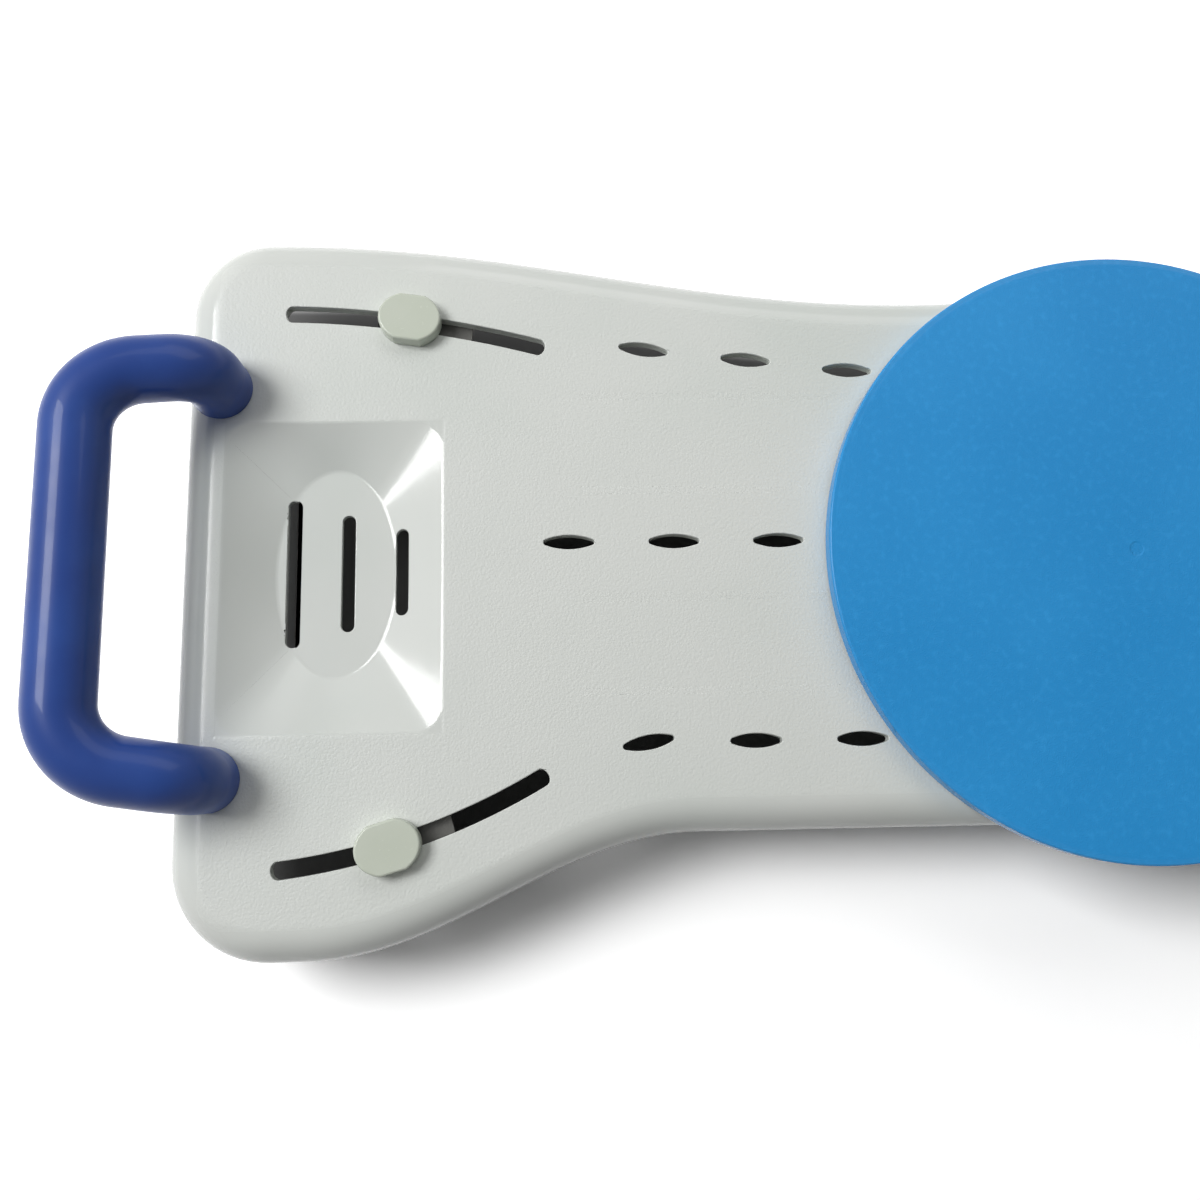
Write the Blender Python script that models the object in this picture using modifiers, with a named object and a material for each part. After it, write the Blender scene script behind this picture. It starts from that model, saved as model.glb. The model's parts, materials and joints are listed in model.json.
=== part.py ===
"""A swivel bath seat: a moulded bath board with a turning disc, a grab handle and four sliding feet.

Units are metres. The board is drawn about its own middle: +X runs along it, away from the handle,
+Y runs to its rear edge, and z = 0 is its top face. An empty then stands the whole seat on its feet,
with the middle of its outer box over the origin.
"""

import math

import bmesh
import bpy
from mathutils import Matrix, Vector

# Board, in plan
BOARD_LENGTH = 0.740
REAR_END = 0.1825  # middle line to the rear edge, at the ends
FRONT_END = 0.1825
REAR_WAIST = 0.150  # middle line to the rear edge, at the waist
FRONT_WAIST = 0.1252
REAR_END_RUN = 0.050  # straight part of the rear edge at each end, corner included
FRONT_END_RUN = 0.065
FRONT_WAIST_RUN = 0.115  # half of the straight part at the front of the waist
REAR_CORNER = 0.041
FRONT_CORNER = 0.048

# Board, in section
BOARD_DEPTH = 0.030
EDGE_ROLL = 0.018
TOP_WALL = 0.0035
SIDE_WALL = 0.003
LIP_DEPTH = 0.006  # thickened band round the slots and drain holes
RIB_WALL = 0.0025
RIB_DEPTH = 0.022
REAR_RIB_Y = 0.086
FRONT_RIB_Y = -0.050
RIB_BAYS = 3  # bays between the rear rib and the front rib
RIB_PITCH = 0.0525  # crossing ribs, which run between the drain holes
FULL_RIBS = 2  # crossing ribs on each side of the middle that run the board's full width
END_RIB_INSET = 0.145  # from the board's end to the last crossing rib

# Foot slots
SLOT_WIDTH = 0.0086
SLOT_LIP = 0.006
SLOT_OUTER_INSET = 0.055  # from the board's end to the slot's outer end
SLOT_INNER_INSET = 0.178
SLOT_MARGIN = 0.044  # from the board's edge to the slot, at its outer end
REAR_SLOT_RADIUS = 0.520
REAR_SLOT_DROP = 0.0175  # how far the slot runs in towards the middle line
FRONT_SLOT_RADIUS = 0.320
FRONT_SLOT_DROP = 0.0405
REAR_FOOT_INSET = 0.114  # from the board's end to the bolt, as the feet stand
FRONT_FOOT_INSET = 0.106

# Drain holes: a lens shape, in three rows
DRAIN_LENGTH = 0.0255
DRAIN_WIDTH = 0.0072
DRAIN_TIP = 0.0009  # how far short of a point each end of the lens stops
DRAIN_LIP = 0.0025
DRAIN_PITCH = 0.0527
DRAINS_IN_ROW = 3
REAR_DRAIN_X = -0.137
REAR_DRAIN_Y = 0.1193
REAR_DRAIN_STEP = -0.0057
REAR_DRAIN_TILT = -8.0
MIDDLE_DRAIN_X = -0.1767
MIDDLE_DRAIN_Y = 0.0183
FRONT_DRAIN_X = -0.1393
FRONT_DRAIN_Y = -0.0815
FRONT_DRAIN_TILT = 10.0

# Shallow panels in the top, between the rows of drain holes
PANEL_DEPTH = 0.0012
PANEL_SLOPE = 0.007
PANEL_LEFT = -0.186
PANEL_RIGHT = -0.016
REAR_PANEL_LOW = 0.039
REAR_PANEL_HIGH = 0.100
FRONT_PANEL_LOW = -0.062
FRONT_PANEL_HIGH = -0.004

# Dish for soap or a shower head
DISH_INSET = 0.0765  # from the board's end to the dish's middle
DISH_Y = 0.004
DISH_LENGTH = 0.108
DISH_WIDTH = 0.151
DISH_DEPTH = 0.013
DISH_FLOOR_LENGTH = 0.060
DISH_FLOOR_WIDTH = 0.106
DISH_WALL = 0.003
DISH_SLOTS = 3
DISH_SLOT_WIDTH = 0.0066
DISH_SLOT_PITCH = 0.0272
DISH_SLOT_FIRST = -0.0215  # from the dish's middle to its longest slot
DISH_SLOT_LONGEST = 0.075
DISH_SLOT_SHORTER = 0.0155

# Grab handle
HANDLE_TUBE = 0.0314
HANDLE_INSET = 0.0196  # from the board's end to the legs
HANDLE_SPACING = 0.1945  # between the legs
HANDLE_GRIP_SPACING = 0.1775  # between the arms, at the grip
HANDLE_Y = 0.0015
HANDLE_REACH = 0.0516  # from the legs out to the grip
HANDLE_RISE = 0.0445  # from the board's top up to the middle of the grip
HANDLE_LEAN = 14.5  # slope of the arms, in degrees
HANDLE_LOWER_BEND = 0.0204
HANDLE_CORNER = 0.031
HANDLE_BOSS = 0.011
HANDLE_BOSS_DEPTH = 0.014
HANDLE_SCREW_RADIUS = 0.003
HANDLE_SCREW_HEAD = 0.0055
HANDLE_SCREW_FACE = 0.0039  # flat face of the rounded head
HANDLE_SCREW_HEAD_DEPTH = 0.0035
HANDLE_SCREW_GRIP = 0.020  # length of screw inside each leg
HANDLE_WASHER_RADIUS = 0.008
HANDLE_WASHER_DEPTH = 0.0015

# Swivel disc
DISC_X = 0.107
DISC_Y = 0.010
DISC_RADIUS = 0.155
DISC_TOP = 0.010
DISC_WALL = 0.0035
DISC_EDGE = 0.002
DISC_SKIRT = 0.003
DISC_CLEARANCE = 0.0015  # under the skirt
DISC_RIB_WALL = 0.0025
DISC_RIBS = 8
DISC_RIB_CLEARANCE = 0.0028
DISC_INNER_RING = 0.064
TRACK_RADIUS = 0.105
TRACK_WIDTH = 0.006

# Swivel joint, from the disc down
GLIDE_WIDTH = 0.014
GLIDE_DEPTH = 0.002
GLIDE_GROOVE = 0.001
SPIGOT_RADIUS = 0.017
SPIGOT_WALL = 0.0025
COLLAR_RADIUS = 0.027
COLLAR_DEPTH = 0.020
BUSH_WALL = 0.0027
BUSH_FLANGE = 0.025
BUSH_FLANGE_DEPTH = 0.0017
INSERT_RADIUS = 0.008
INSERT_LENGTH = 0.014
INSERT_WALL = 0.003  # plastic round the insert
PIVOT_BOLT_RADIUS = 0.005
PIVOT_BOLT_LENGTH = 0.018  # under the head
PIVOT_HEAD_RADIUS = 0.0098
PIVOT_HEAD_DEPTH = 0.0064
RETAINER_RADIUS = 0.025
RETAINER_DEPTH = 0.002
RETAINER_CLEARANCE = 0.003  # from the retainer to the ribs round it
LOCK_WASHER_RADIUS = 0.009
LOCK_WASHER_DEPTH = 0.0022

# Feet
BOLT_RADIUS = 0.004
BOLT_HEAD = 0.0065
BOLT_HEAD_DEPTH = 0.004
BOLT_NECK_DEPTH = 0.0045
BOLT_TAIL = 0.004  # thread that shows below the nut
SLOT_END_MARGIN = 0.003  # from the slot's end to the bolt at the end of its travel
CAP_RADIUS = 0.0158
CAP_FLATS = 0.0245
CAP_DEPTH = 0.008
CAP_EDGE = 0.0012
CAP_DISC_CLEARANCE = 0.0015
PLATE_INWARD = 0.031
PLATE_OUTWARD = 0.0165
PLATE_WIDTH = 0.044
PLATE_DEPTH = 0.005
LEG_WALL = 0.004
LEG_LENGTH = 0.0605  # below the plate
GUSSET_WALL = 0.003
GUSSET_DEPTH = 0.030
FILLET = 0.003
PAD_DEPTH = 0.0035
PAD_RIDGE = 0.0012
PAD_RIDGES = 6
PAD_SLOPE = 0.2  # slope of a ridge's sides, as a share of its width
PAD_TOE = 0.003
PAD_HEEL = 0.012  # how far the rubber turns up inside the toe
WASHER_RADIUS = 0.010
WASHER_DEPTH = 0.0015
NUT_RADIUS = 0.0118
NUT_FLUTE = 0.0012
NUT_FLUTES = 7
FLUTE_STEPS = 5
NUT_DEPTH = 0.018

# Rubber strips that lie on the bath's rim
STRIP_WIDTH = 0.010
STRIP_DEPTH = 0.003
STRIP_GROOVE = 0.001
STRIP_TEETH = 4
STRIP_LENGTH = 0.088
LAND_WALL = 0.012
REAR_LAND_Y = 0.092
FRONT_LAND_Y = -0.088

# Gap between neighbouring pieces, and how finely round shapes are drawn
GAP = 0.0003
OVERCUT = 0.005
TINY = 0.000001
ROLL_STEPS = 4
SWEEP_STEPS = 7
CORNER_STEPS = 5
LENS_STEPS = 4
EDGE_STEPS = 2
CAP_STEPS = 7
DISH_STEPS = 36
DISH_CORNERS = 9.0  # the higher, the squarer the dish's corners
DISC_STEPS = 52
HUB_STEPS = 26
SMALL_STEPS = 14
SMOOTH_ANGLE = 25.0  # degrees between faces, above which an edge looks sharp

HALF_LENGTH = BOARD_LENGTH / 2
DISH_X = DISH_INSET - HALF_LENGTH
HANDLE_X = HANDLE_INSET - HALF_LENGTH
PLATE_TOP = -LIP_DEPTH - GAP
PLATE_BOTTOM = PLATE_TOP - PLATE_DEPTH
LEG_BOTTOM = PLATE_BOTTOM - LEG_LENGTH
TOE_BOTTOM = LEG_BOTTOM - GAP - PAD_TOE
WASHER_TOP = PLATE_BOTTOM - GAP
NUT_TOP = WASHER_TOP - WASHER_DEPTH - GAP
NUT_BOTTOM = NUT_TOP - NUT_DEPTH
SPIGOT_BOTTOM = -COLLAR_DEPTH + GAP
RETAINER_TOP = SPIGOT_BOTTOM - 2 * GAP
PIVOT_SEAT = RETAINER_TOP - RETAINER_DEPTH - GAP - LOCK_WASHER_DEPTH - GAP
PIVOT_TIP = PIVOT_SEAT + PIVOT_BOLT_LENGTH
GLIDE_BOTTOM = GAP - GLIDE_GROOVE
GLIDE_TOP = GLIDE_BOTTOM + GLIDE_DEPTH

MATERIALS = {
    "white_plastic": ((0.80, 0.82, 0.80), 0.42, 0.0),
    "dark_blue_plastic": ((0.020, 0.050, 0.300), 0.22, 0.0),
    "bright_blue_plastic": ((0.030, 0.240, 0.550), 0.45, 0.0),
    "ivory_plastic": ((0.60, 0.64, 0.50), 0.40, 0.0),
    "grey_plastic": ((0.100, 0.100, 0.085), 0.50, 0.0),
    "black_plastic": ((0.020, 0.020, 0.020), 0.45, 0.0),
    "natural_plastic": ((0.75, 0.75, 0.70), 0.45, 0.0),
    "rubber": ((0.025, 0.025, 0.025), 0.85, 0.0),
    "steel": ((0.60, 0.60, 0.60), 0.28, 1.0),
    "brass": ((0.62, 0.45, 0.16), 0.30, 1.0),
}


def clear_scene():
    """Removes every object that the scene starts with."""
    for obj in list(bpy.data.objects):
        bpy.data.objects.remove(obj)


def collection_named(name):
    """A new collection in the scene."""
    collection = bpy.data.collections.new(name)
    bpy.context.scene.collection.children.link(collection)
    return collection


def material_named(name):
    """The material of that name, made at its first use."""
    if name in bpy.data.materials:
        return bpy.data.materials[name]
    color, roughness, metallic = MATERIALS[name]
    material = bpy.data.materials.new(name)
    material.use_nodes = True
    shader = material.node_tree.nodes["Principled BSDF"]
    shader.inputs["Base Color"].default_value = (*color, 1.0)
    shader.inputs["Roughness"].default_value = roughness
    shader.inputs["Metallic"].default_value = metallic
    return material


def mesh_object(name, bm):
    """An object that holds the bmesh, with its doubles merged and its faces pointing out."""
    bmesh.ops.remove_doubles(bm, verts=bm.verts, dist=TINY)
    bmesh.ops.recalc_face_normals(bm, faces=bm.faces)
    mesh = bpy.data.meshes.new(name)
    bm.to_mesh(mesh)
    bm.free()
    obj = bpy.data.objects.new(name, mesh)
    bpy.context.scene.collection.objects.link(obj)
    return obj


def solid_of(drawn):
    """A mesh object with the solid that a curve or a modifier makes. The drawn object goes."""
    graph = bpy.context.evaluated_depsgraph_get()
    mesh = bpy.data.meshes.new_from_object(drawn.evaluated_get(graph))
    mesh.transform(drawn.matrix_world)
    bm = bmesh.new()
    bm.from_mesh(mesh)
    name = drawn.name
    bpy.data.objects.remove(drawn)
    bpy.data.meshes.remove(mesh)
    return mesh_object(name, bm)


def combine(target, operand, operation):
    """Joins, cuts or trims the target by the operand, which goes."""
    modifier = target.modifiers.new(operation.lower(), "BOOLEAN")
    modifier.operation = operation
    modifier.solver = "EXACT"
    modifier.object = operand
    graph = bpy.context.evaluated_depsgraph_get()
    shaped = bpy.data.meshes.new_from_object(target.evaluated_get(graph))
    target.modifiers.remove(modifier)
    target.data = shaped
    bpy.data.objects.remove(operand)


def joined(name, pieces):
    """One object out of pieces that stay clear of each other."""
    bm = bmesh.new()
    for piece in pieces:
        bm.from_mesh(piece.data)
        bpy.data.objects.remove(piece)
    return mesh_object(name, bm)


def flat_solid(name, rings, low, high):
    """A plate between two heights. The first ring is its outline, and any others are holes."""
    curve = bpy.data.curves.new(name, "CURVE")
    curve.dimensions = "2D"
    curve.fill_mode = "BOTH"
    curve.extrude = (high - low) / 2
    for ring in rings:
        spline = curve.splines.new("POLY")
        spline.points.add(len(ring) - 1)
        for point, (x, y) in zip(spline.points, ring):
            point.co = (x, y, 0.0, 1.0)
        spline.use_cyclic_u = True
    drawn = bpy.data.objects.new(name, curve)
    bpy.context.scene.collection.objects.link(drawn)
    drawn.location.z = (low + high) / 2
    bpy.context.view_layer.update()
    return solid_of(drawn)


def section_solid(name, section, left, right):
    """A bar along Y between left and right, with its section given as (x, z) points."""
    bar = flat_solid(name, [section], -right, -left)
    bar.data.transform(Matrix.Rotation(math.radians(90), 4, "X"))
    return bar


def block(name, low, high):
    """A box between two corners."""
    bm = bmesh.new()
    size = [b - a for a, b in zip(low, high)]
    middle = [(a + b) / 2 for a, b in zip(low, high)]
    place = Matrix.Translation(middle) @ Matrix.Diagonal((*size, 1.0))
    bmesh.ops.create_cube(bm, size=1.0, matrix=place)
    return mesh_object(name, bm)


def cylinder(name, radius, low, high, x=0.0, y=0.0, steps=SMALL_STEPS):
    """An upright cylinder between two heights."""
    bm = bmesh.new()
    place = Matrix.Translation((x, y, (low + high) / 2))
    bmesh.ops.create_cone(
        bm, cap_ends=True, segments=steps, radius1=radius, radius2=radius, depth=high - low, matrix=place
    )
    return mesh_object(name, bm)


def turned(name, profile, steps=SMALL_STEPS):
    """A solid turned about Z. Its profile of (radius, height) runs down the outer side."""
    bm = bmesh.new()
    points = [bm.verts.new((radius, 0.0, height)) for radius, height in profile]
    for first, second in zip(points, points[1:]):
        bm.edges.new((first, second))
    if profile[0][0] > 0:
        bm.edges.new((points[-1], points[0]))
    mesh = bpy.data.meshes.new(name)
    bm.to_mesh(mesh)
    bm.free()
    drawn = bpy.data.objects.new(name, mesh)
    bpy.context.scene.collection.objects.link(drawn)
    screw = drawn.modifiers.new("turn", "SCREW")
    screw.steps = steps
    screw.render_steps = steps
    screw.use_merge_vertices = True
    screw.merge_threshold = 1e-5
    return solid_of(drawn)


def loft(name, rings):
    """A closed solid through rings of equally many points, each with its own height."""
    bm = bmesh.new()
    loops = []
    for ring, height in rings:
        loops.append([bm.verts.new((x, y, height)) for x, y in ring])
    bm.faces.new(loops[0])
    bm.faces.new(loops[-1])
    count = len(loops[0])
    for lower, upper in zip(loops, loops[1:]):
        for i in range(count):
            j = (i + 1) % count
            bm.faces.new((lower[i], lower[j], upper[j], upper[i]))
    return mesh_object(name, bm)


def arc(x, y, radius, start, end, steps):
    """Points on an arc, with its angles in radians and both ends included."""
    angles = [start + (end - start) * i / steps for i in range(steps + 1)]
    return [(x + radius * math.cos(a), y + radius * math.sin(a)) for a in angles]


def circle(radius, steps=SMALL_STEPS):
    """Points round a circle about the origin."""
    return arc(0.0, 0.0, radius, 0.0, 2 * math.pi, steps)[:-1]


def inset(ring, distance):
    """The ring moved in by a distance, or out by a negative one. It runs anticlockwise."""
    moved = []
    count = len(ring)
    for i in range(count):
        x, y = ring[i]
        before, after = ring[i - 1], ring[(i + 1) % count]
        first = math.atan2(y - before[1], x - before[0])
        second = math.atan2(after[1] - y, after[0] - x)
        half_turn = math.remainder(second - first, 2 * math.pi) / 2
        inward = first + half_turn + math.pi / 2
        reach = distance / math.cos(half_turn)
        moved.append((x + reach * math.cos(inward), y + reach * math.sin(inward)))
    return moved


def swept(x, waist, full, start, end):
    """Half a width that eases from the waist at start to its full size at end."""
    run = min(max((abs(x) - start) / (end - start), 0.0), 1.0)
    return waist + (full - waist) * (1 - math.cos(math.pi * run)) / 2


def rear_edge(x):
    return swept(x, REAR_WAIST, REAR_END, 0.0, HALF_LENGTH - REAR_END_RUN)


def front_edge(x):
    return -swept(x, FRONT_WAIST, FRONT_END, FRONT_WAIST_RUN, HALF_LENGTH - FRONT_END_RUN)


def sweep_places(start, end):
    """Places along one half of an edge at which its sweep is drawn."""
    return [start + (end - start) * i / SWEEP_STEPS for i in range(SWEEP_STEPS + 1)]


def board_outline():
    """The board's outline in plan, anticlockwise from the front edge."""
    half_turn = math.pi / 2
    front = sweep_places(FRONT_WAIST_RUN, HALF_LENGTH - FRONT_END_RUN)
    rear = sweep_places(0.0, HALF_LENGTH - REAR_END_RUN)[1:]
    front_x = HALF_LENGTH - FRONT_CORNER
    rear_x = HALF_LENGTH - REAR_CORNER
    front_y = FRONT_CORNER - FRONT_END
    rear_y = REAR_END - REAR_CORNER
    ring = arc(-front_x, front_y, FRONT_CORNER, -2 * half_turn, -half_turn, CORNER_STEPS)
    ring += [(-x, front_edge(x)) for x in reversed(front)]
    ring += [(x, front_edge(x)) for x in front]
    ring += arc(front_x, front_y, FRONT_CORNER, -half_turn, 0.0, CORNER_STEPS)
    ring += arc(rear_x, rear_y, REAR_CORNER, 0.0, half_turn, CORNER_STEPS)
    ring += [(x, rear_edge(x)) for x in reversed(rear)]
    ring.append((0.0, REAR_WAIST))
    ring += [(-x, rear_edge(x)) for x in rear]
    ring += arc(-rear_x, rear_y, REAR_CORNER, half_turn, 2 * half_turn, CORNER_STEPS)
    return ring


def rounded_slab(name, ring, low, high, roll, steps):
    """A plate whose top edge is rolled over all round."""
    slab = flat_solid(name, [ring], low, high)
    bm = bmesh.new()
    bm.from_mesh(slab.data)
    bpy.data.objects.remove(slab)
    tops = [face for face in bm.faces if min(vert.co.z for vert in face.verts) > high - TINY]
    bmesh.ops.dissolve_faces(bm, faces=tops)
    rim = [edge for edge in bm.edges if min(vert.co.z for vert in edge.verts) > high - TINY]
    bmesh.ops.bevel(
        bm, geom=rim, offset=roll, offset_type="OFFSET", segments=steps, profile=0.5, affect="EDGES"
    )
    return mesh_object(name, bm)


def board_slab(name, margin, low, high):
    """The board's outer form, moved in by a margin."""
    return rounded_slab(name, inset(board_outline(), margin), low, high, EDGE_ROLL - margin, ROLL_STEPS)


def oval_ring(x, y, half_x, half_y, corners, steps=DISH_STEPS):
    """A ring between an ellipse, for corners of 2, and a rectangle, for many."""
    ring = []
    for i in range(steps):
        angle = 2 * math.pi * i / steps
        c, s = math.cos(angle), math.sin(angle)
        reach = (abs(c) ** corners + abs(s) ** corners) ** (-1 / corners)
        ring.append((x + half_x * reach * c, y + half_y * reach * s))
    return ring


def lens_ring(x, y, tilt, grow):
    """A drain hole's outline: two shallow arcs, cut off bluntly just before they would meet."""
    half_length = DRAIN_LENGTH / 2 + grow
    half_width = DRAIN_WIDTH / 2 + grow
    to_point = half_length + DRAIN_TIP
    radius = (to_point**2 + half_width**2) / (2 * half_width)
    spread = math.asin(half_length / radius)
    up = math.pi / 2
    ring = arc(0.0, half_width - radius, radius, up - spread, up + spread, LENS_STEPS)
    ring += arc(0.0, radius - half_width, radius, -up - spread, -up + spread, LENS_STEPS)
    c, s = math.cos(math.radians(tilt)), math.sin(math.radians(tilt))
    return [(x + c * u - s * v, y + s * u + c * v) for u, v in ring]


def drain_places():
    """Place and tilt of each drain hole. The front and rear rows are repeated under the disc."""
    places = []
    for i in range(DRAINS_IN_ROW):
        along = i * DRAIN_PITCH
        fade = 1 - i / DRAINS_IN_ROW
        rear = (REAR_DRAIN_X + along, REAR_DRAIN_Y + i * REAR_DRAIN_STEP, REAR_DRAIN_TILT * fade)
        front_tilt = FRONT_DRAIN_TILT if i == 0 else 0.0
        front = (FRONT_DRAIN_X + along, FRONT_DRAIN_Y, front_tilt)
        places += [rear, (-rear[0], rear[1], -rear[2]), front, (-front[0], front[1], -front[2])]
        places.append((MIDDLE_DRAIN_X + along, MIDDLE_DRAIN_Y, 0.0))
    return places


def straight_slot(x, y, length, width):
    """A slot along Y with round ends."""
    radius = width / 2
    reach = length / 2 - radius
    ring = arc(x, y + reach, radius, 0.0, math.pi, CORNER_STEPS)
    return ring + arc(x, y - reach, radius, math.pi, 2 * math.pi, CORNER_STEPS)


class FootSlot:
    """One curved slot and its foot's place in it. side is -1 at the handle's end, depth 1 at the rear."""

    def __init__(self, side, depth):
        self.side = side
        self.depth = depth
        self.radius = REAR_SLOT_RADIUS if depth > 0 else FRONT_SLOT_RADIUS
        edge = REAR_END if depth > 0 else FRONT_END
        drop = REAR_SLOT_DROP if depth > 0 else FRONT_SLOT_DROP
        foot_inset = REAR_FOOT_INSET if depth > 0 else FRONT_FOOT_INSET
        outer_x = HALF_LENGTH - SLOT_OUTER_INSET
        inner_x = HALF_LENGTH - SLOT_INNER_INSET
        outer_y = edge - SLOT_MARGIN
        inner_y = outer_y - drop
        chord = math.hypot(outer_x - inner_x, drop)
        rise = math.sqrt(self.radius**2 - chord**2 / 4)
        across = ((outer_x - inner_x) / chord, drop / chord)
        middle = ((outer_x + inner_x) / 2, (outer_y + inner_y) / 2)
        near_x = middle[0] + across[1] * rise
        near_y = middle[1] - across[0] * rise
        self.centre = (side * near_x, depth * near_y)
        self.outer = self.angle_at(side * outer_x)
        self.inner = self.angle_at(side * inner_x)
        if side > 0:
            self.inner = self.stop_at_disc()
        self.rest = self.angle_at(side * (HALF_LENGTH - foot_inset))
        self.outward = math.copysign(1.0, self.outer - self.inner)
        margin = self.outward * SLOT_END_MARGIN / self.radius
        self.limits = sorted((self.inner + margin - self.rest, self.outer - margin - self.rest))

    def angle_at(self, x):
        """The angle, about the slot's centre, of the slot's point at x."""
        return self.depth * math.acos((x - self.centre[0]) / self.radius)

    def stop_at_disc(self):
        """The slot's inner end, past which the cap would meet the disc."""
        from_disc = (self.centre[0] - DISC_X, self.centre[1] - DISC_Y)
        far = math.hypot(*from_disc)
        reach = DISC_RADIUS + CAP_RADIUS + CAP_DISC_CLEARANCE - SLOT_END_MARGIN
        bend = math.acos((reach**2 - far**2 - self.radius**2) / (2 * far * self.radius))
        toward = math.atan2(from_disc[1], from_disc[0])
        found = [math.remainder(toward + sign * bend, 2 * math.pi) for sign in (-1, 1)]
        stop = min(found, key=lambda angle: abs(angle - self.inner))
        along = math.copysign(1.0, self.outer - self.inner)
        return stop if (stop - self.inner) * along > 0 else self.inner

    def ring(self, grow):
        """The slot's outline in plan, made wider all round by grow."""
        half = SLOT_WIDTH / 2 + grow
        x, y = self.centre
        low, high = sorted((self.inner, self.outer))
        ring = arc(x, y, self.radius + half, low, high, SWEEP_STEPS)
        end = (x + self.radius * math.cos(high), y + self.radius * math.sin(high))
        ring += arc(*end, half, high, high + math.pi, CORNER_STEPS)[1:-1]
        ring += arc(x, y, self.radius - half, high, low, SWEEP_STEPS)
        start = (x + self.radius * math.cos(low), y + self.radius * math.sin(low))
        ring += arc(*start, half, low + math.pi, low + 2 * math.pi, CORNER_STEPS)[1:-1]
        return ring


FOOT_SLOTS = {
    "rear_left": FootSlot(-1, 1),
    "front_left": FootSlot(-1, -1),
    "rear_right": FootSlot(1, 1),
    "front_right": FootSlot(1, -1),
}


def land_span():
    """Distance from the middle of the board to the near and far ends of the lands."""
    far = HALF_LENGTH - HANDLE_INSET - HANDLE_BOSS - 2 * GAP
    return far - STRIP_LENGTH - 2 * GAP, far


def handle_feet():
    """The handle's two leg centres in plan."""
    return [(HANDLE_X, HANDLE_Y + side * HANDLE_SPACING / 2) for side in (-1, 1)]


def long_ribs():
    """Ribs that run along the board, from the dish to the far end."""
    start = END_RIB_INSET - HALF_LENGTH
    step = (REAR_RIB_Y - FRONT_RIB_Y) / RIB_BAYS
    ribs = []
    for i in range(RIB_BAYS + 1):
        y = FRONT_RIB_Y + i * step
        low = (start, y - RIB_WALL / 2, -RIB_DEPTH)
        high = (HALF_LENGTH, y + RIB_WALL / 2, -TOP_WALL / 2)
        ribs.append(block("rib", low, high))
    return joined("long_ribs", ribs)


def cross_ribs():
    """Ribs across the board. Those that the feet come near stop at the outer long ribs."""
    end_rib = HALF_LENGTH - END_RIB_INSET
    places = [(i * RIB_PITCH, abs(i) <= FULL_RIBS) for i in range(-FULL_RIBS - 1, FULL_RIBS + 2)]
    places += [(end_rib, False), (-end_rib, False)]
    ribs = []
    for x, full in places:
        near = front_edge(x) if full else FRONT_RIB_Y
        far = rear_edge(x) if full else REAR_RIB_Y
        low = (x - RIB_WALL / 2, near, -RIB_DEPTH + GAP)
        high = (x + RIB_WALL / 2, far, -TOP_WALL / 2)
        ribs.append(block("rib", low, high))
    return joined("cross_ribs", ribs)


def lands():
    """Thick ribs at both ends, whose undersides carry the rubber strips."""
    near, far = land_span()
    made = []
    for side in (-1, 1):
        for y in (REAR_LAND_Y, FRONT_LAND_Y):
            ends = sorted((side * near, side * far))
            low = (ends[0], y - LAND_WALL / 2, -BOARD_DEPTH)
            high = (ends[1], y + LAND_WALL / 2, -TOP_WALL / 2)
            made.append(block("land", low, high))
    return joined("lands", made)


def lips():
    """Thickened bands round the slots and drain holes, the pivot collar and the handle's bosses."""
    top = -TOP_WALL / 2
    made = [flat_solid("lip", [slot.ring(SLOT_LIP)], -LIP_DEPTH, top) for slot in FOOT_SLOTS.values()]
    made += [flat_solid("lip", [lens_ring(*place, DRAIN_LIP)], -LIP_DEPTH, top) for place in drain_places()]
    for x, y in handle_feet():
        made.append(cylinder("boss", HANDLE_BOSS, -HANDLE_BOSS_DEPTH, top, x, y))
    return joined("lips", made)


def dish_body():
    """The outside of the dish, under the board."""
    rim = oval_ring(DISH_X, DISH_Y, DISH_LENGTH / 2 + DISH_WALL, DISH_WIDTH / 2 + DISH_WALL, DISH_CORNERS)
    floor_x = DISH_FLOOR_LENGTH / 2 + DISH_WALL
    floor_y = DISH_FLOOR_WIDTH / 2 + DISH_WALL
    floor = oval_ring(DISH_X, DISH_Y, floor_x, floor_y, 2.0)
    return loft("dish_body", [(floor, -DISH_DEPTH - DISH_WALL), (rim, -TOP_WALL / 2)])


def dish_hollow():
    """The inside of the dish: four slopes that fold down to an oval floor."""
    rim = oval_ring(DISH_X, DISH_Y, DISH_LENGTH / 2, DISH_WIDTH / 2, DISH_CORNERS)
    floor = oval_ring(DISH_X, DISH_Y, DISH_FLOOR_LENGTH / 2, DISH_FLOOR_WIDTH / 2, 2.0)
    return loft("dish_hollow", [(floor, -DISH_DEPTH), (rim, 0.0), (rim, OVERCUT)])


def panel_hollow(low_y, high_y):
    """A shallow panel with sloping sides."""
    x = (PANEL_LEFT + PANEL_RIGHT) / 2
    y = (low_y + high_y) / 2
    half_x = (PANEL_RIGHT - PANEL_LEFT) / 2
    half_y = (high_y - low_y) / 2
    rim = oval_ring(x, y, half_x, half_y, DISH_CORNERS)
    floor = oval_ring(x, y, half_x - PANEL_SLOPE, half_y - PANEL_SLOPE, DISH_CORNERS)
    over = oval_ring(x, y, half_x + PANEL_SLOPE, half_y + PANEL_SLOPE, DISH_CORNERS)
    return loft("panel", [(floor, -PANEL_DEPTH), (rim, 0.0), (over, PANEL_DEPTH)])


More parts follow.
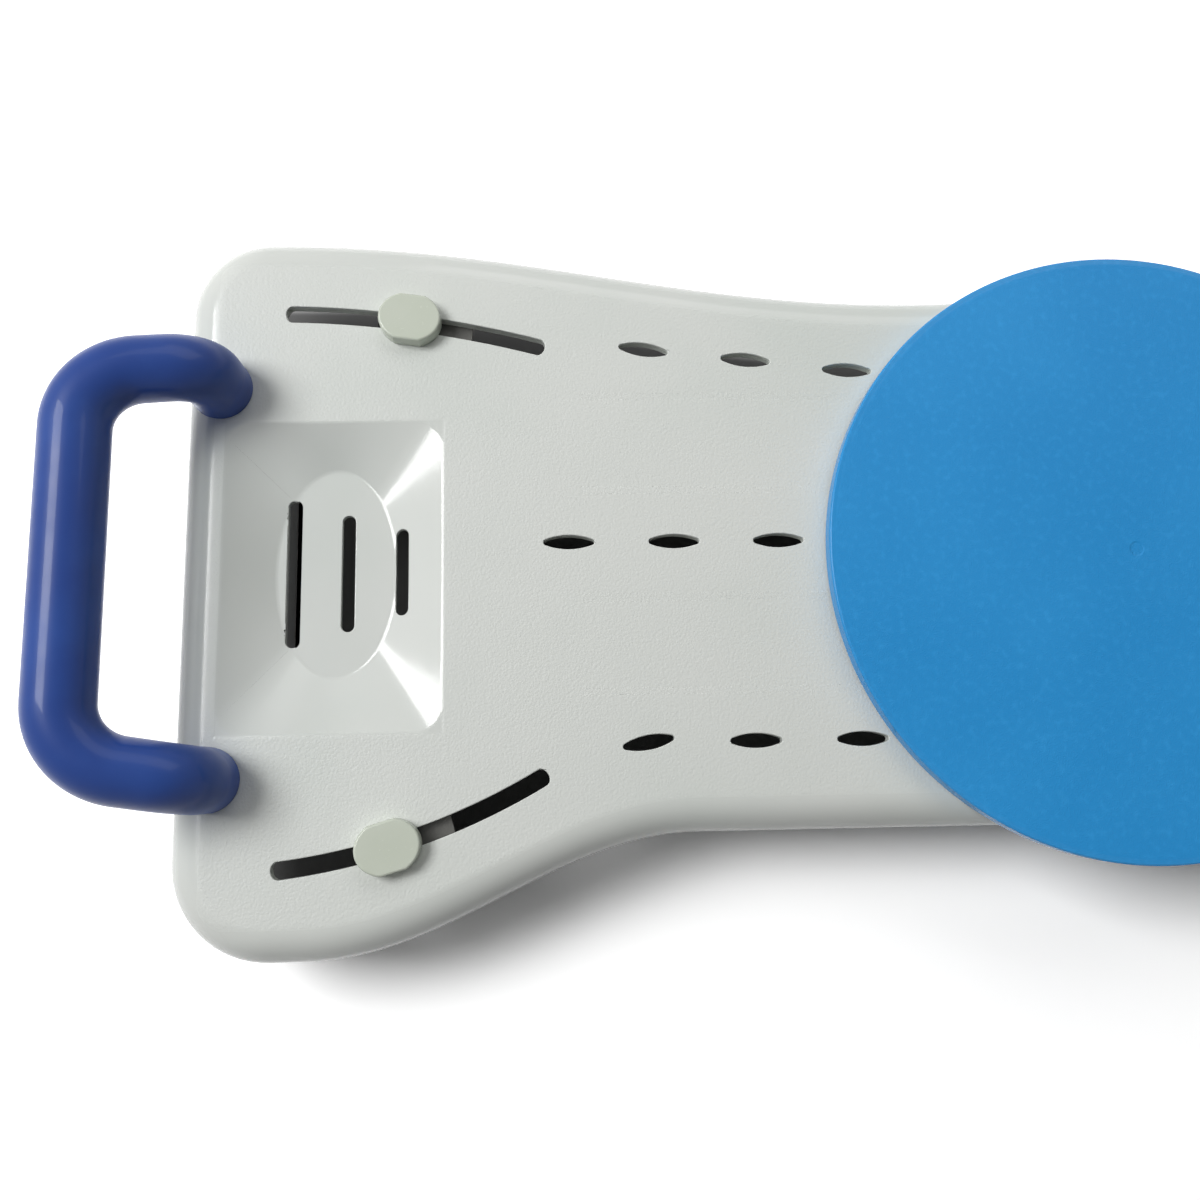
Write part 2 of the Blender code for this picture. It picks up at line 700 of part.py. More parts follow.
def board_cutters():
    """What is cut through the board: foot slots, drain holes, dish slots and screw holes."""
    low, high = -BOARD_DEPTH, OVERCUT
    cutters = [flat_solid("cut", [slot.ring(0.0)], low, high) for slot in FOOT_SLOTS.values()]
    cutters += [flat_solid("cut", [lens_ring(*place, 0.0)], low, high) for place in drain_places()]
    for i in range(DISH_SLOTS):
        x = DISH_X + DISH_SLOT_FIRST + i * DISH_SLOT_PITCH
        length = DISH_SLOT_LONGEST - i * DISH_SLOT_SHORTER
        cutters.append(flat_solid("cut", [straight_slot(x, DISH_Y, length, DISH_SLOT_WIDTH)], low, high))
    for x, y in handle_feet():
        cutters.append(cylinder("cut", HANDLE_SCREW_RADIUS + GAP, low, high, x, y))
    return joined("board_cutters", cutters)


def glide_groove():
    """The ring-shaped groove that holds the glide ring."""
    half = GLIDE_WIDTH / 2 + GAP
    outer, inner = TRACK_RADIUS + half, TRACK_RADIUS - half
    profile = [(outer, OVERCUT), (outer, -GLIDE_GROOVE), (inner, -GLIDE_GROOVE), (inner, OVERCUT)]
    groove = turned("groove", profile, DISC_STEPS)
    groove.data.transform(Matrix.Translation((DISC_X, DISC_Y, 0.0)))
    return groove


def make_board():
    """The moulded board: a shell, open below, with ribs, lips, collar, bosses and dish."""
    shell = board_slab("board_shell", 0.0, -BOARD_DEPTH, 0.0)
    combine(shell, board_slab("hollow", SIDE_WALL, -BOARD_DEPTH - OVERCUT, -TOP_WALL), "DIFFERENCE")
    bush_outer = SPIGOT_RADIUS + GAP + BUSH_WALL
    collar = cylinder("collar", COLLAR_RADIUS, -COLLAR_DEPTH, -TOP_WALL / 2, DISC_X, DISC_Y, HUB_STEPS)
    for stiffener in (long_ribs(), cross_ribs(), lands(), lips(), dish_body(), collar):
        middle = board_slab("middle", SIDE_WALL / 2, -BOARD_DEPTH - OVERCUT, -TOP_WALL / 2)
        combine(stiffener, middle, "INTERSECT")
        combine(shell, stiffener, "UNION")
    combine(shell, dish_hollow(), "DIFFERENCE")
    combine(shell, panel_hollow(REAR_PANEL_LOW, REAR_PANEL_HIGH), "DIFFERENCE")
    combine(shell, panel_hollow(FRONT_PANEL_LOW, FRONT_PANEL_HIGH), "DIFFERENCE")
    combine(shell, glide_groove(), "DIFFERENCE")
    bore = cylinder("bore", bush_outer + GAP, -BOARD_DEPTH, OVERCUT, DISC_X, DISC_Y, HUB_STEPS)
    combine(shell, bore, "DIFFERENCE")
    room = RETAINER_RADIUS + RETAINER_CLEARANCE
    recess = cylinder("recess", room, -BOARD_DEPTH - GAP, -COLLAR_DEPTH, DISC_X, DISC_Y, HUB_STEPS)
    combine(shell, recess, "DIFFERENCE")
    combine(shell, board_cutters(), "DIFFERENCE")
    return shell


def make_strip(side, y):
    """A ribbed rubber strip under one land."""
    near, _ = land_span()
    top = -BOARD_DEPTH - GAP
    half = STRIP_WIDTH / 2
    low = top - STRIP_DEPTH
    tooth = STRIP_WIDTH / (2 * STRIP_TEETH - 1)
    section = [(half, top), (-half, top)]
    for i in range(STRIP_TEETH):
        left = -half + 2 * i * tooth
        section += [(left, low), (left + tooth, low)]
        if i < STRIP_TEETH - 1:
            section += [(left + tooth, low + STRIP_GROOVE), (left + 2 * tooth, low + STRIP_GROOVE)]
    strip = section_solid("strip", section, near + GAP, near + GAP + STRIP_LENGTH)
    turn = Matrix.Rotation(math.radians(-90 * side), 4, "Z")
    strip.data.transform(Matrix.Translation((0.0, y, 0.0)) @ turn)
    return strip


def handle_path():
    """Points along the middle of the handle's tube, from one leg to the other."""
    lean = math.radians(HANDLE_LEAN)
    leg = HANDLE_SPACING / 2
    grip = HANDLE_GRIP_SPACING / 2
    knee = HANDLE_RISE - HANDLE_REACH * math.tan(lean)
    corners = [
        (0.0, leg, -HANDLE_BOSS_DEPTH),
        (0.0, leg, knee),
        (-HANDLE_REACH, grip, HANDLE_RISE),
        (-HANDLE_REACH, -grip, HANDLE_RISE),
        (0.0, -leg, knee),
        (0.0, -leg, -HANDLE_BOSS_DEPTH),
    ]
    radii = [HANDLE_LOWER_BEND, HANDLE_CORNER, HANDLE_CORNER, HANDLE_LOWER_BEND]
    return filleted(corners, radii, CORNER_STEPS)


def filleted(points, radii, steps):
    """A path in space through corner points, with a bend of its own radius at each inner one."""
    points = [Vector(point) for point in points]
    bends = []
    for i, radius in enumerate(radii, start=1):
        back = (points[i - 1] - points[i]).normalized()
        ahead = (points[i + 1] - points[i]).normalized()
        bends.append((points[i], back, ahead, back.angle(ahead), radius))
    path = [points[0]]
    for here, back, ahead, between, radius in bends:
        tangent = radius / math.tan(between / 2)
        centre = here + (back + ahead).normalized() * radius / math.sin(between / 2)
        start = here + back * tangent - centre
        end = here + ahead * tangent - centre
        path += [centre + start.slerp(end, step / steps) * radius for step in range(steps + 1)]
    path.append(points[-1])
    return path


def make_handle():
    """A moulded tube whose legs are scribed to the board's top and rolled edge."""
    path = handle_path()
    curve = bpy.data.curves.new("grab_handle", "CURVE")
    curve.dimensions = "3D"
    curve.bevel_depth = HANDLE_TUBE / 2
    curve.bevel_resolution = 5
    curve.use_fill_caps = True
    spline = curve.splines.new("POLY")
    spline.points.add(len(path) - 1)
    for point, (x, y, z) in zip(spline.points, path):
        point.co = (HANDLE_X + x, HANDLE_Y + y, z, 1.0)
    drawn = bpy.data.objects.new("grab_handle", curve)
    bpy.context.scene.collection.objects.link(drawn)
    bpy.context.view_layer.update()
    handle = solid_of(drawn)
    combine(handle, board_slab("scribe", -GAP, -BOARD_DEPTH, GAP), "DIFFERENCE")
    top = HANDLE_SCREW_GRIP + GAP
    holes = [cylinder("hole", HANDLE_SCREW_RADIUS + GAP, -GAP, top, x, y) for x, y in handle_feet()]
    combine(handle, joined("holes", holes), "DIFFERENCE")
    return handle


def make_handle_screw():
    """A pan-headed screw that goes up through a boss into a leg."""
    seat = -HANDLE_BOSS_DEPTH - HANDLE_WASHER_DEPTH - 2 * GAP
    head = seat - HANDLE_SCREW_HEAD_DEPTH
    profile = [
        (0.0, HANDLE_SCREW_GRIP),
        (HANDLE_SCREW_RADIUS, HANDLE_SCREW_GRIP),
        (HANDLE_SCREW_RADIUS, seat),
        (HANDLE_SCREW_HEAD, seat),
        (HANDLE_SCREW_HEAD, head + HANDLE_SCREW_HEAD_DEPTH / 2),
        (HANDLE_SCREW_FACE, head),
        (0.0, head),
    ]
    return turned("handle_screw", profile)


def make_washer(radius, shank, top, depth, steps=SMALL_STEPS):
    """A flat ring round a shank."""
    hole = shank + GAP
    return turned("washer", [(radius, top), (radius, top - depth), (hole, top - depth), (hole, top)], steps)


def make_disc():
    """The swivel disc: a flat top, a skirt, a hollow spigot, and rings and ribs below."""
    under = DISC_TOP - DISC_WALL
    skirt = DISC_RADIUS - DISC_SKIRT
    ring_half = DISC_RIB_WALL / 2
    track_outer = TRACK_RADIUS + TRACK_WIDTH / 2
    track_inner = TRACK_RADIUS - TRACK_WIDTH / 2
    boss = BUSH_FLANGE - GAP
    boss_low = GAP + BUSH_FLANGE_DEPTH + GAP
    core = SPIGOT_RADIUS - SPIGOT_WALL
    insert_hole = INSERT_RADIUS + GAP
    insert_boss = insert_hole + INSERT_WALL
    insert_top = max(SPIGOT_BOTTOM + INSERT_LENGTH, PIVOT_TIP) + GAP
    rim = arc(DISC_RADIUS - DISC_EDGE, DISC_TOP - DISC_EDGE, DISC_EDGE, math.pi / 2, 0.0, EDGE_STEPS)
    profile = [(0.0, DISC_TOP), *rim]
    profile += [(DISC_RADIUS, DISC_CLEARANCE), (skirt, DISC_CLEARANCE), (skirt, under)]
    profile += [(track_outer, under), (track_outer, GLIDE_TOP + GAP)]
    profile += [(track_inner, GLIDE_TOP + GAP), (track_inner, under)]
    profile += [(DISC_INNER_RING + ring_half, under), (DISC_INNER_RING + ring_half, DISC_RIB_CLEARANCE)]
    profile += [(DISC_INNER_RING - ring_half, DISC_RIB_CLEARANCE), (DISC_INNER_RING - ring_half, under)]
    profile.append((0.0, under))
    disc = turned("swivel_disc", profile, DISC_STEPS)
    hub_top = DISC_TOP - DISC_WALL / 2
    hub_profile = [(0.0, hub_top), (boss, hub_top), (boss, boss_low), (SPIGOT_RADIUS, boss_low)]
    hub_profile += [(SPIGOT_RADIUS, SPIGOT_BOTTOM), (core, SPIGOT_BOTTOM), (core, -DISC_WALL)]
    hub_profile += [(insert_boss, -DISC_WALL), (insert_boss, SPIGOT_BOTTOM), (insert_hole, SPIGOT_BOTTOM)]
    hub_profile += [(insert_hole, insert_top), (0.0, insert_top)]
    combine(disc, turned("hub", hub_profile, HUB_STEPS), "UNION")
    for i in range(DISC_RIBS):
        near, far = boss - GAP, skirt + GAP
        low = (near, -DISC_RIB_WALL / 2, DISC_RIB_CLEARANCE + GAP)
        high = (far, DISC_RIB_WALL / 2, under + GAP)
        rib = block("disc_rib", low, high)
        rib.data.transform(Matrix.Rotation(2 * math.pi * (i + 0.5) / DISC_RIBS, 4, "Z"))
        combine(disc, rib, "UNION")
    return disc


def make_glide_ring():
    """The low-friction ring on which the disc's track turns."""
    outer = TRACK_RADIUS + GLIDE_WIDTH / 2
    inner = TRACK_RADIUS - GLIDE_WIDTH / 2
    profile = [(outer, GLIDE_TOP), (outer, GLIDE_BOTTOM), (inner, GLIDE_BOTTOM), (inner, GLIDE_TOP)]
    return turned("glide_ring", profile, DISC_STEPS)


def make_bush():
    """The flanged bush in which the spigot turns."""
    inner = SPIGOT_RADIUS + GAP
    outer = inner + BUSH_WALL
    top = GAP + BUSH_FLANGE_DEPTH
    profile = [(BUSH_FLANGE, top), (BUSH_FLANGE, GAP), (outer, GAP), (outer, -COLLAR_DEPTH)]
    profile += [(inner, -COLLAR_DEPTH), (inner, top)]
    return turned("pivot_bush", profile, HUB_STEPS)


def make_insert():
    """The threaded insert in the spigot. Its bore is plain."""
    bore = PIVOT_BOLT_RADIUS + GAP
    top = SPIGOT_BOTTOM + INSERT_LENGTH
    profile = [(INSERT_RADIUS, top), (INSERT_RADIUS, SPIGOT_BOTTOM), (bore, SPIGOT_BOTTOM), (bore, top)]
    return turned("thread_insert", profile)


def make_pivot_bolt():
    """The hexagon-headed bolt that holds the disc down."""
    head = cylinder("pivot_bolt", PIVOT_HEAD_RADIUS, PIVOT_SEAT - PIVOT_HEAD_DEPTH, PIVOT_SEAT, steps=6)
    shank = cylinder("shank", PIVOT_BOLT_RADIUS, PIVOT_SEAT - PIVOT_HEAD_DEPTH / 2, PIVOT_TIP)
    combine(head, shank, "UNION")
    return head


def foot_frame(slot):
    """Matrix from a foot's own frame, with +X outward along the slot, to its slide empty's frame."""
    turn = Matrix.Rotation(slot.outward * math.pi / 2, 4, "Z")
    return Matrix.Translation((slot.radius, 0.0, 0.0)) @ turn


def make_cap():
    """The moulded cap that is gripped by its two flats. A pocket below takes the bolt's head."""
    half = CAP_FLATS / 2
    spread = math.asin(half / CAP_RADIUS)
    ring = arc(0.0, 0.0, CAP_RADIUS, -spread, spread, CAP_STEPS)
    ring += arc(0.0, 0.0, CAP_RADIUS, math.pi - spread, math.pi + spread, CAP_STEPS)
    cap = rounded_slab("cap", ring, GAP, GAP + CAP_DEPTH, CAP_EDGE, EDGE_STEPS)
    pocket = cylinder("pocket", BOLT_HEAD + GAP, -OVERCUT, 3 * GAP + BOLT_HEAD_DEPTH)
    combine(cap, pocket, "DIFFERENCE")
    return cap


def make_bolt():
    """The bolt under the cap. Its square neck keeps it in line with the slot."""
    top = 2 * GAP + BOLT_HEAD_DEPTH
    tail = NUT_BOTTOM - BOLT_TAIL
    profile = [(0.0, top), (BOLT_HEAD, top), (BOLT_HEAD, GAP), (BOLT_RADIUS, GAP)]
    profile += [(BOLT_RADIUS, tail + GAP), (BOLT_RADIUS - GAP, tail), (0.0, tail)]
    bolt = turned("bolt", profile)
    neck = BOLT_RADIUS - GAP / 3
    combine(bolt, block("neck", (-neck, -neck, -BOLT_NECK_DEPTH), (neck, neck, 2 * GAP)), "UNION")
    return bolt


def make_bracket():
    """The moulded foot: a plate under the board, a leg at its outer end and a gusset on each side."""
    inner = PLATE_OUTWARD - LEG_WALL
    section = [(-PLATE_INWARD, PLATE_TOP), (-PLATE_INWARD, PLATE_BOTTOM + FILLET / 2)]
    section += [(-PLATE_INWARD + FILLET / 2, PLATE_BOTTOM), (inner - GAP, PLATE_BOTTOM)]
    section += [(inner, PLATE_BOTTOM - GAP), (inner, LEG_BOTTOM), (PLATE_OUTWARD, LEG_BOTTOM)]
    section += arc(PLATE_OUTWARD - FILLET, PLATE_TOP - FILLET, FILLET, 0.0, math.pi / 2, EDGE_STEPS)
    half = PLATE_WIDTH / 2
    bracket = section_solid("bracket", section, -half, half)
    deep = PLATE_BOTTOM - GUSSET_DEPTH
    toe = -PLATE_INWARD + FILLET
    gusset = [(toe, PLATE_BOTTOM + GAP), (toe, PLATE_BOTTOM - FILLET)]
    gusset += arc(toe, deep, PLATE_BOTTOM - FILLET - deep, math.pi / 2, 0.0, CORNER_STEPS)[1:-1]
    gusset += [(inner - FILLET, deep - FILLET), (inner + GAP, deep - 2 * FILLET)]
    gusset.append((inner + GAP, PLATE_BOTTOM + GAP))
    for side in (-1, 1):
        edges = sorted((side * (half - GAP), side * (half - GAP - GUSSET_WALL)))
        combine(bracket, section_solid("gusset", gusset, *edges), "UNION")
    combine(bracket, cylinder("hole", BOLT_RADIUS + GAP, PLATE_BOTTOM - OVERCUT, 0.0), "DIFFERENCE")
    return bracket


def make_pad():
    """The ribbed rubber boot on the leg's outer face and toe."""
    inner = PLATE_OUTWARD + GAP
    outer = inner + PAD_DEPTH
    heel = PLATE_OUTWARD - LEG_WALL - GAP
    top = PLATE_BOTTOM - FILLET
    low = TOE_BOTTOM
    section = [(inner, top), (inner, LEG_BOTTOM - GAP), (heel, LEG_BOTTOM - GAP)]
    section += [(heel, LEG_BOTTOM - GAP + PAD_HEEL), (heel - PAD_TOE / 2, LEG_BOTTOM - GAP + PAD_HEEL)]
    section += [(heel - PAD_TOE / 2, low + FILLET / 2), (heel - PAD_TOE / 2 + FILLET / 2, low)]
    section += [(outer - FILLET / 2, low), (outer, low + FILLET / 2)]
    pitch = (top - low - 2 * FILLET) / (2 * PAD_RIDGES - 1)
    for i in range(PAD_RIDGES):
        height = low + FILLET + 2 * i * pitch
        section += [(outer, height + pitch)]
        if i < PAD_RIDGES - 1:
            groove = [height + (1 + share) * pitch for share in (PAD_SLOPE, 1 - PAD_SLOPE)]
            section += [(outer - PAD_RIDGE, level) for level in groove]
            section += [(outer, height + 2 * pitch)]
    section += [(outer, top - FILLET / 2), (outer - PAD_RIDGE, top)]
    half = PLATE_WIDTH / 2 - GAP
    return section_solid("pad", section, -half, half)


def make_nut():
    """The fluted hand nut. Its bore is plain."""
    steps = FLUTE_STEPS * NUT_FLUTES
    ring = []
    for i in range(steps):
        angle = 2 * math.pi * i / steps
        radius = NUT_RADIUS - NUT_FLUTE * (1 - math.cos(NUT_FLUTES * angle)) / 2
        ring.append((radius * math.cos(angle), radius * math.sin(angle)))
    return flat_solid("nut", [ring, circle(BOLT_RADIUS + GAP)], NUT_BOTTOM, NUT_TOP)


def empty_at(name, place, parent=None, turn=0.0):
    """An empty on a joint's axis."""
    empty = bpy.data.objects.new(name, None)
    empty.location = place
    empty.rotation_euler.z = turn
    empty.parent = parent
    bpy.context.scene.collection.objects.link(empty)
    return empty


def finish(obj, name, material, parent, place=None):
    """Names a piece, colours it, hangs it on its empty and moves it into the seat's collection."""
    obj.name = name
    obj.data.materials.clear()
    obj.data.materials.append(material_named(material))
    obj.data.shade_smooth()
    obj.data.set_sharp_from_angle(angle=math.radians(SMOOTH_ANGLE))
    obj.parent = parent
    if place is not None:
        obj.matrix_local = place
    bpy.context.scene.collection.objects.unlink(obj)
    seat_parts.objects.link(obj)


def copy_of(obj):
    """Another object with the same mesh."""
    copy = bpy.data.objects.new(obj.name, obj.data)
    bpy.context.scene.collection.objects.link(copy)
    return copy


def add_board(base):
    """The board and what is fixed to it."""
    finish(make_board(), "board_shell", "white_plastic", base)
    finish(make_handle(), "grab_handle", "dark_blue_plastic", base)
    for leg, (x, y) in zip(("front", "rear"), handle_feet()):
        place = Matrix.Translation((x, y, 0.0))
        washer = make_washer(
            HANDLE_WASHER_RADIUS, HANDLE_SCREW_RADIUS, -HANDLE_BOSS_DEPTH - GAP, HANDLE_WASHER_DEPTH
        )
        finish(make_handle_screw(), "handle_screw_" + leg, "steel", base, place)
        finish(washer, "handle_washer_" + leg, "steel", base, place)
    for end, side in (("left", -1), ("right", 1)):
        finish(make_strip(side, REAR_LAND_Y), "rim_strip_rear_" + end, "rubber", base)
        finish(make_strip(side, FRONT_LAND_Y), "rim_strip_front_" + end, "rubber", base)


def add_disc(base):
    """The swivel disc and its joint, all about one axis."""
    axis = empty_at("disc_axis", (DISC_X, DISC_Y, 0.0), base)
    finish(make_glide_ring(), "glide_ring", "natural_plastic", axis)
    finish(make_bush(), "pivot_bush", "black_plastic", axis)
    finish(make_disc(), "swivel_disc", "bright_blue_plastic", axis)
    finish(make_insert(), "thread_insert", "brass", axis)
    retainer = make_washer(RETAINER_RADIUS, PIVOT_BOLT_RADIUS, RETAINER_TOP, RETAINER_DEPTH, HUB_STEPS)
    finish(retainer, "pivot_retainer", "steel", axis)
    lock_top = RETAINER_TOP - RETAINER_DEPTH - GAP
    lock_washer = make_washer(LOCK_WASHER_RADIUS, PIVOT_BOLT_RADIUS, lock_top, LOCK_WASHER_DEPTH)
    finish(lock_washer, "pivot_lock_washer", "steel", axis)
    finish(make_pivot_bolt(), "pivot_bolt", "steel", axis)


def add_feet(base):
    """Four feet, each hung on an empty at the centre of its slot's arc."""
    washer = make_washer(WASHER_RADIUS, BOLT_RADIUS, WASHER_TOP, WASHER_DEPTH)
    patterns = [
        ("foot_cap", make_cap(), "ivory_plastic"),
        ("foot_bolt", make_bolt(), "steel"),
        ("foot_bracket", make_bracket(), "grey_plastic"),
        ("foot_pad", make_pad(), "rubber"),
        ("foot_washer", washer, "steel"),
        ("hand_nut", make_nut(), "black_plastic"),
    ]
    for corner, slot in FOOT_SLOTS.items():
        slide = empty_at(corner + "_slide", (*slot.centre, 0.0), base, slot.rest)
        for name, pattern, material in patterns:
            finish(copy_of(pattern), name + "_" + corner, material, slide, foot_frame(slot))
    for _, pattern, _ in patterns:
        bpy.data.objects.remove(pattern)


clear_scene()
seat_parts = collection_named("swivel_bath_seat")
grip_edge = HANDLE_X - HANDLE_REACH - HANDLE_TUBE / 2
box_middle_x = (grip_edge + HALF_LENGTH) / 2
box_middle_y = (REAR_END - FRONT_END) / 2
seat_base = empty_at("seat_base", (-box_middle_x, -box_middle_y, -TOE_BOTTOM))
add_board(seat_base)
add_disc(seat_base)
add_feet(seat_base)
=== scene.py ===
# %% [markdown]
# # A swivel bath seat
# A moulded board lies across a bath. A round disc turns on it, so that someone can sit down beside the
# bath and swing the legs in. This lesson loads the working model, whose parts already fit and move, and
# makes each visible piece again with a finer surface and a real finish.

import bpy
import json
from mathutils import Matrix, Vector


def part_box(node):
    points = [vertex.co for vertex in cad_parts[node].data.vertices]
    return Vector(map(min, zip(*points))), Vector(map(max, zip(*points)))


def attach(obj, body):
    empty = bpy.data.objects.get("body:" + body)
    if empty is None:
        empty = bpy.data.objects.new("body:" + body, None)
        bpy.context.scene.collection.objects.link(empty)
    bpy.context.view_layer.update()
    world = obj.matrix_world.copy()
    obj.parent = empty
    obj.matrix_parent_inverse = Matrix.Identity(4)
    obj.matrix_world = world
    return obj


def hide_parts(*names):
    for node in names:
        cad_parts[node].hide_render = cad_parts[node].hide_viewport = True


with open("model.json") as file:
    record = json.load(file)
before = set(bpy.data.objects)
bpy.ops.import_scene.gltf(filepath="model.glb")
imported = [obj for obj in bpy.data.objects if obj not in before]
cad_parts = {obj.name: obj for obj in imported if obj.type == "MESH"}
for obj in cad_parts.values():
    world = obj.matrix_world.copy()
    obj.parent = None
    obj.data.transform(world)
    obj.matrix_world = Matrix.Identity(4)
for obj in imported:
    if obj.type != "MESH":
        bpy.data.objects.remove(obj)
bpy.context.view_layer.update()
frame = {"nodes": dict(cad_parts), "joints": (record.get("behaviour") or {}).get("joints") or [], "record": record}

# %% Modules, and a few values that everything shares
import json
import math

import bmesh
import bpy
from mathutils import Matrix, Vector

TINY = 1e-5
GAP = 0.0003  # between pieces that touch
board_low, board_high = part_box("board_shell")
TOP = board_high.z
BOTTOM = board_low.z
MIDDLE = (board_low.x + board_high.x) / 2
HALF_LENGTH = (board_high.x - board_low.x) / 2
REAR_END = board_high.y
FRONT_END = -board_low.y
joints = {joint["name"]: joint for joint in frame["joints"]}
DISC_AXIS = Vector(joints["disc_turn"]["pos_m"])
UP = Vector((0.0, 0.0, 1.0))

# %% [markdown]
# ## The camera
# The photograph was taken by hand from above, a little to the left of the seat and in front of it, with
# the wide lens of a phone. The disc is a true circle, so the ellipse that it makes in the picture gives
# the camera's tilt, and the board's known length gives its distance.

# %% Camera
CAMERA_PLACE = (-0.16228, -0.09919, 0.61189)
CAMERA_TURN = (9.349, -2.4211, -1.0836)  # degrees
LENS = 33.0
SENSOR = 36.0

bpy.ops.object.select_all(action="DESELECT")
bpy.ops.object.camera_add(location=CAMERA_PLACE, rotation=[math.radians(angle) for angle in CAMERA_TURN])
camera = bpy.context.object
camera.data.lens = LENS
camera.data.sensor_width = SENSOR
bpy.context.scene.camera = camera
bpy.context.scene.view_settings.view_transform = "Standard"
to_disc = (Vector(CAMERA_PLACE) - DISC_AXIS).length
print("the camera is", round(to_disc, 3), "m from the disc's middle")

# %% [markdown]
# ## Writing materials as sums
# A procedural material is a net of small nodes. Adding them one by one hides the idea, so this class
# wraps a socket: a sum of two wires adds its Math node, and `add` makes any other kind of node.

# %% A wire between shader nodes
class Wire:
    """A socket in a material, which Python can do sums with."""

    def __init__(self, tree, socket=None):
        self.tree = tree
        self.socket = socket

    def add(self, kind, settings, values, output=0):
        """Adds a node, sets it up, feeds its sockets and gives back an output, or a list of them."""
        node = self.tree.nodes.new(kind)
        for name, value in settings.items():
            setattr(node, name, value)
        for name, value in values.items():
            if isinstance(value, Wire):
                self.tree.links.new(value.socket, node.inputs[name])
            else:
                node.inputs[name].default_value = value
        if isinstance(output, list):
            return [Wire(self.tree, node.outputs[name]) for name in output]
        return Wire(self.tree, node.outputs[output])

    def __add__(self, other):
        return calculate("ADD", self, other)

    def __radd__(self, other):
        return calculate("ADD", other, self)

    def __sub__(self, other):
        return calculate("SUBTRACT", self, other)

    def __rsub__(self, other):
        return calculate("SUBTRACT", other, self)

    def __mul__(self, other):
        return calculate("MULTIPLY", self, other)

    def __rmul__(self, other):
        return calculate("MULTIPLY", other, self)

    def __truediv__(self, other):
        return calculate("DIVIDE", self, other)


def calculate(operation, *values):
    """Adds a Math node for wires and numbers, at least one of them a wire."""
    wire = next(value for value in values if isinstance(value, Wire))
    return wire.add("ShaderNodeMath", {"operation": operation}, dict(enumerate(values)))


def ease(value, start, end, way="SMOOTHSTEP"):
    """A step from 0 to 1 while the value runs from start to end."""
    numbers = {"Value": value, "From Min": start, "From Max": end}
    return value.add("ShaderNodeMapRange", {"interpolation_type": way}, numbers)


def blend_colors(mask, first, second):
    """The first colour where the mask is 0, and the second where it is 1."""
    colors = {"Factor": mask, "A": (*first, 1.0), "B": (*second, 1.0)}
    return mask.add("ShaderNodeMix", {"data_type": "RGBA"}, colors, output="Result")


# %% [markdown]
# ## A base for every finish
# All finishes start from the Principled shader. What is the same all over a piece is typed straight into
# the shader's sockets. What changes from place to place is wired in, from the piece's own coordinates.

# %% The start of a finish
def new_finish(name, color, roughness, **constants):
    """A material, its place wire and its shader. Constants are named as the shader's sockets are."""
    material = bpy.data.materials.new(name)
    material.use_nodes = True
    tree = material.node_tree
    shader = tree.nodes["Principled BSDF"]
    shader.inputs["Base Color"].default_value = (*color, 1.0)
    shader.inputs["Roughness"].default_value = roughness
    for socket, value in constants.items():
        shader.inputs[socket.replace("_", " ")].default_value = value
    place = Wire(tree).add("ShaderNodeTexCoord", {}, {}, output="Object")
    return material, place, shader


def feed(shader, socket, wire):
    """Wires a changing value or colour into the shader."""
    wire.tree.links.new(wire.socket, shader.inputs[socket])


def noise(place, scale, detail=2.0):
    """Cloudy noise. The scale is the number of clouds in a metre."""
    values = {"Vector": place, "Scale": scale, "Detail": detail}
    return place.add("ShaderNodeTexNoise", {}, values, output="Fac")


def cells(place, scale, feature="F1"):
    """Distance to the nearest of many scattered points, in cells."""
    values = {"Vector": place, "Scale": scale}
    return place.add("ShaderNodeTexVoronoi", {"feature": feature}, values, output="Distance")


def bump(shader, height, distance):
    """Raises the surface by the height wire, times a distance in metres."""
    values = {"Height": height, "Distance": distance, "Strength": 1.0}
    feed(shader, "Normal", height.add("ShaderNodeBump", {}, values, output="Normal"))


def parts_of(place):
    """The x, y and z of a place wire."""
    return place.add("ShaderNodeSeparateXYZ", {}, {"Vector": place}, ["X", "Y", "Z"])


# %% [markdown]
# ## Floor and light
# The photograph shows the seat on plain white. Its light is wide and soft, comes from the left and from
# behind, and throws the handle's shadow onto the board. Below the board the floor has painted shade, a
# darker colour that stands in for the deep shade there, and it gives little light back to the seat. Only
# where the camera looks at it, or sees it in a reflection, is it lifted to white, and there it still
# shows the seat's own shadow.

# %% What the camera sees of floor and sky
def rays_that_look(tree):
    """1 for a ray that comes from the camera, straight or by way of gloss or glass, else 0."""
    kinds = ["Is Camera Ray", "Is Glossy Ray", "Is Transmission Ray"]
    camera_ray, glossy_ray, glass_ray = Wire(tree).add("ShaderNodeLightPath", {}, {}, kinds)
    return calculate("MAXIMUM", calculate("MAXIMUM", camera_ray, glossy_ray), glass_ray)


def mix_shaders(mask, first, second):
    """The first shader where the mask is 0, and the second where it is 1."""
    return mask.add("ShaderNodeMixShader", {}, {0: mask, 1: first, 2: second})


# %% The board's outline, as a distance
REAR_WAIST = 0.150
FRONT_WAIST = 0.1252
REAR_END_RUN = 0.050
FRONT_END_RUN = 0.065
FRONT_WAIST_RUN = 0.115


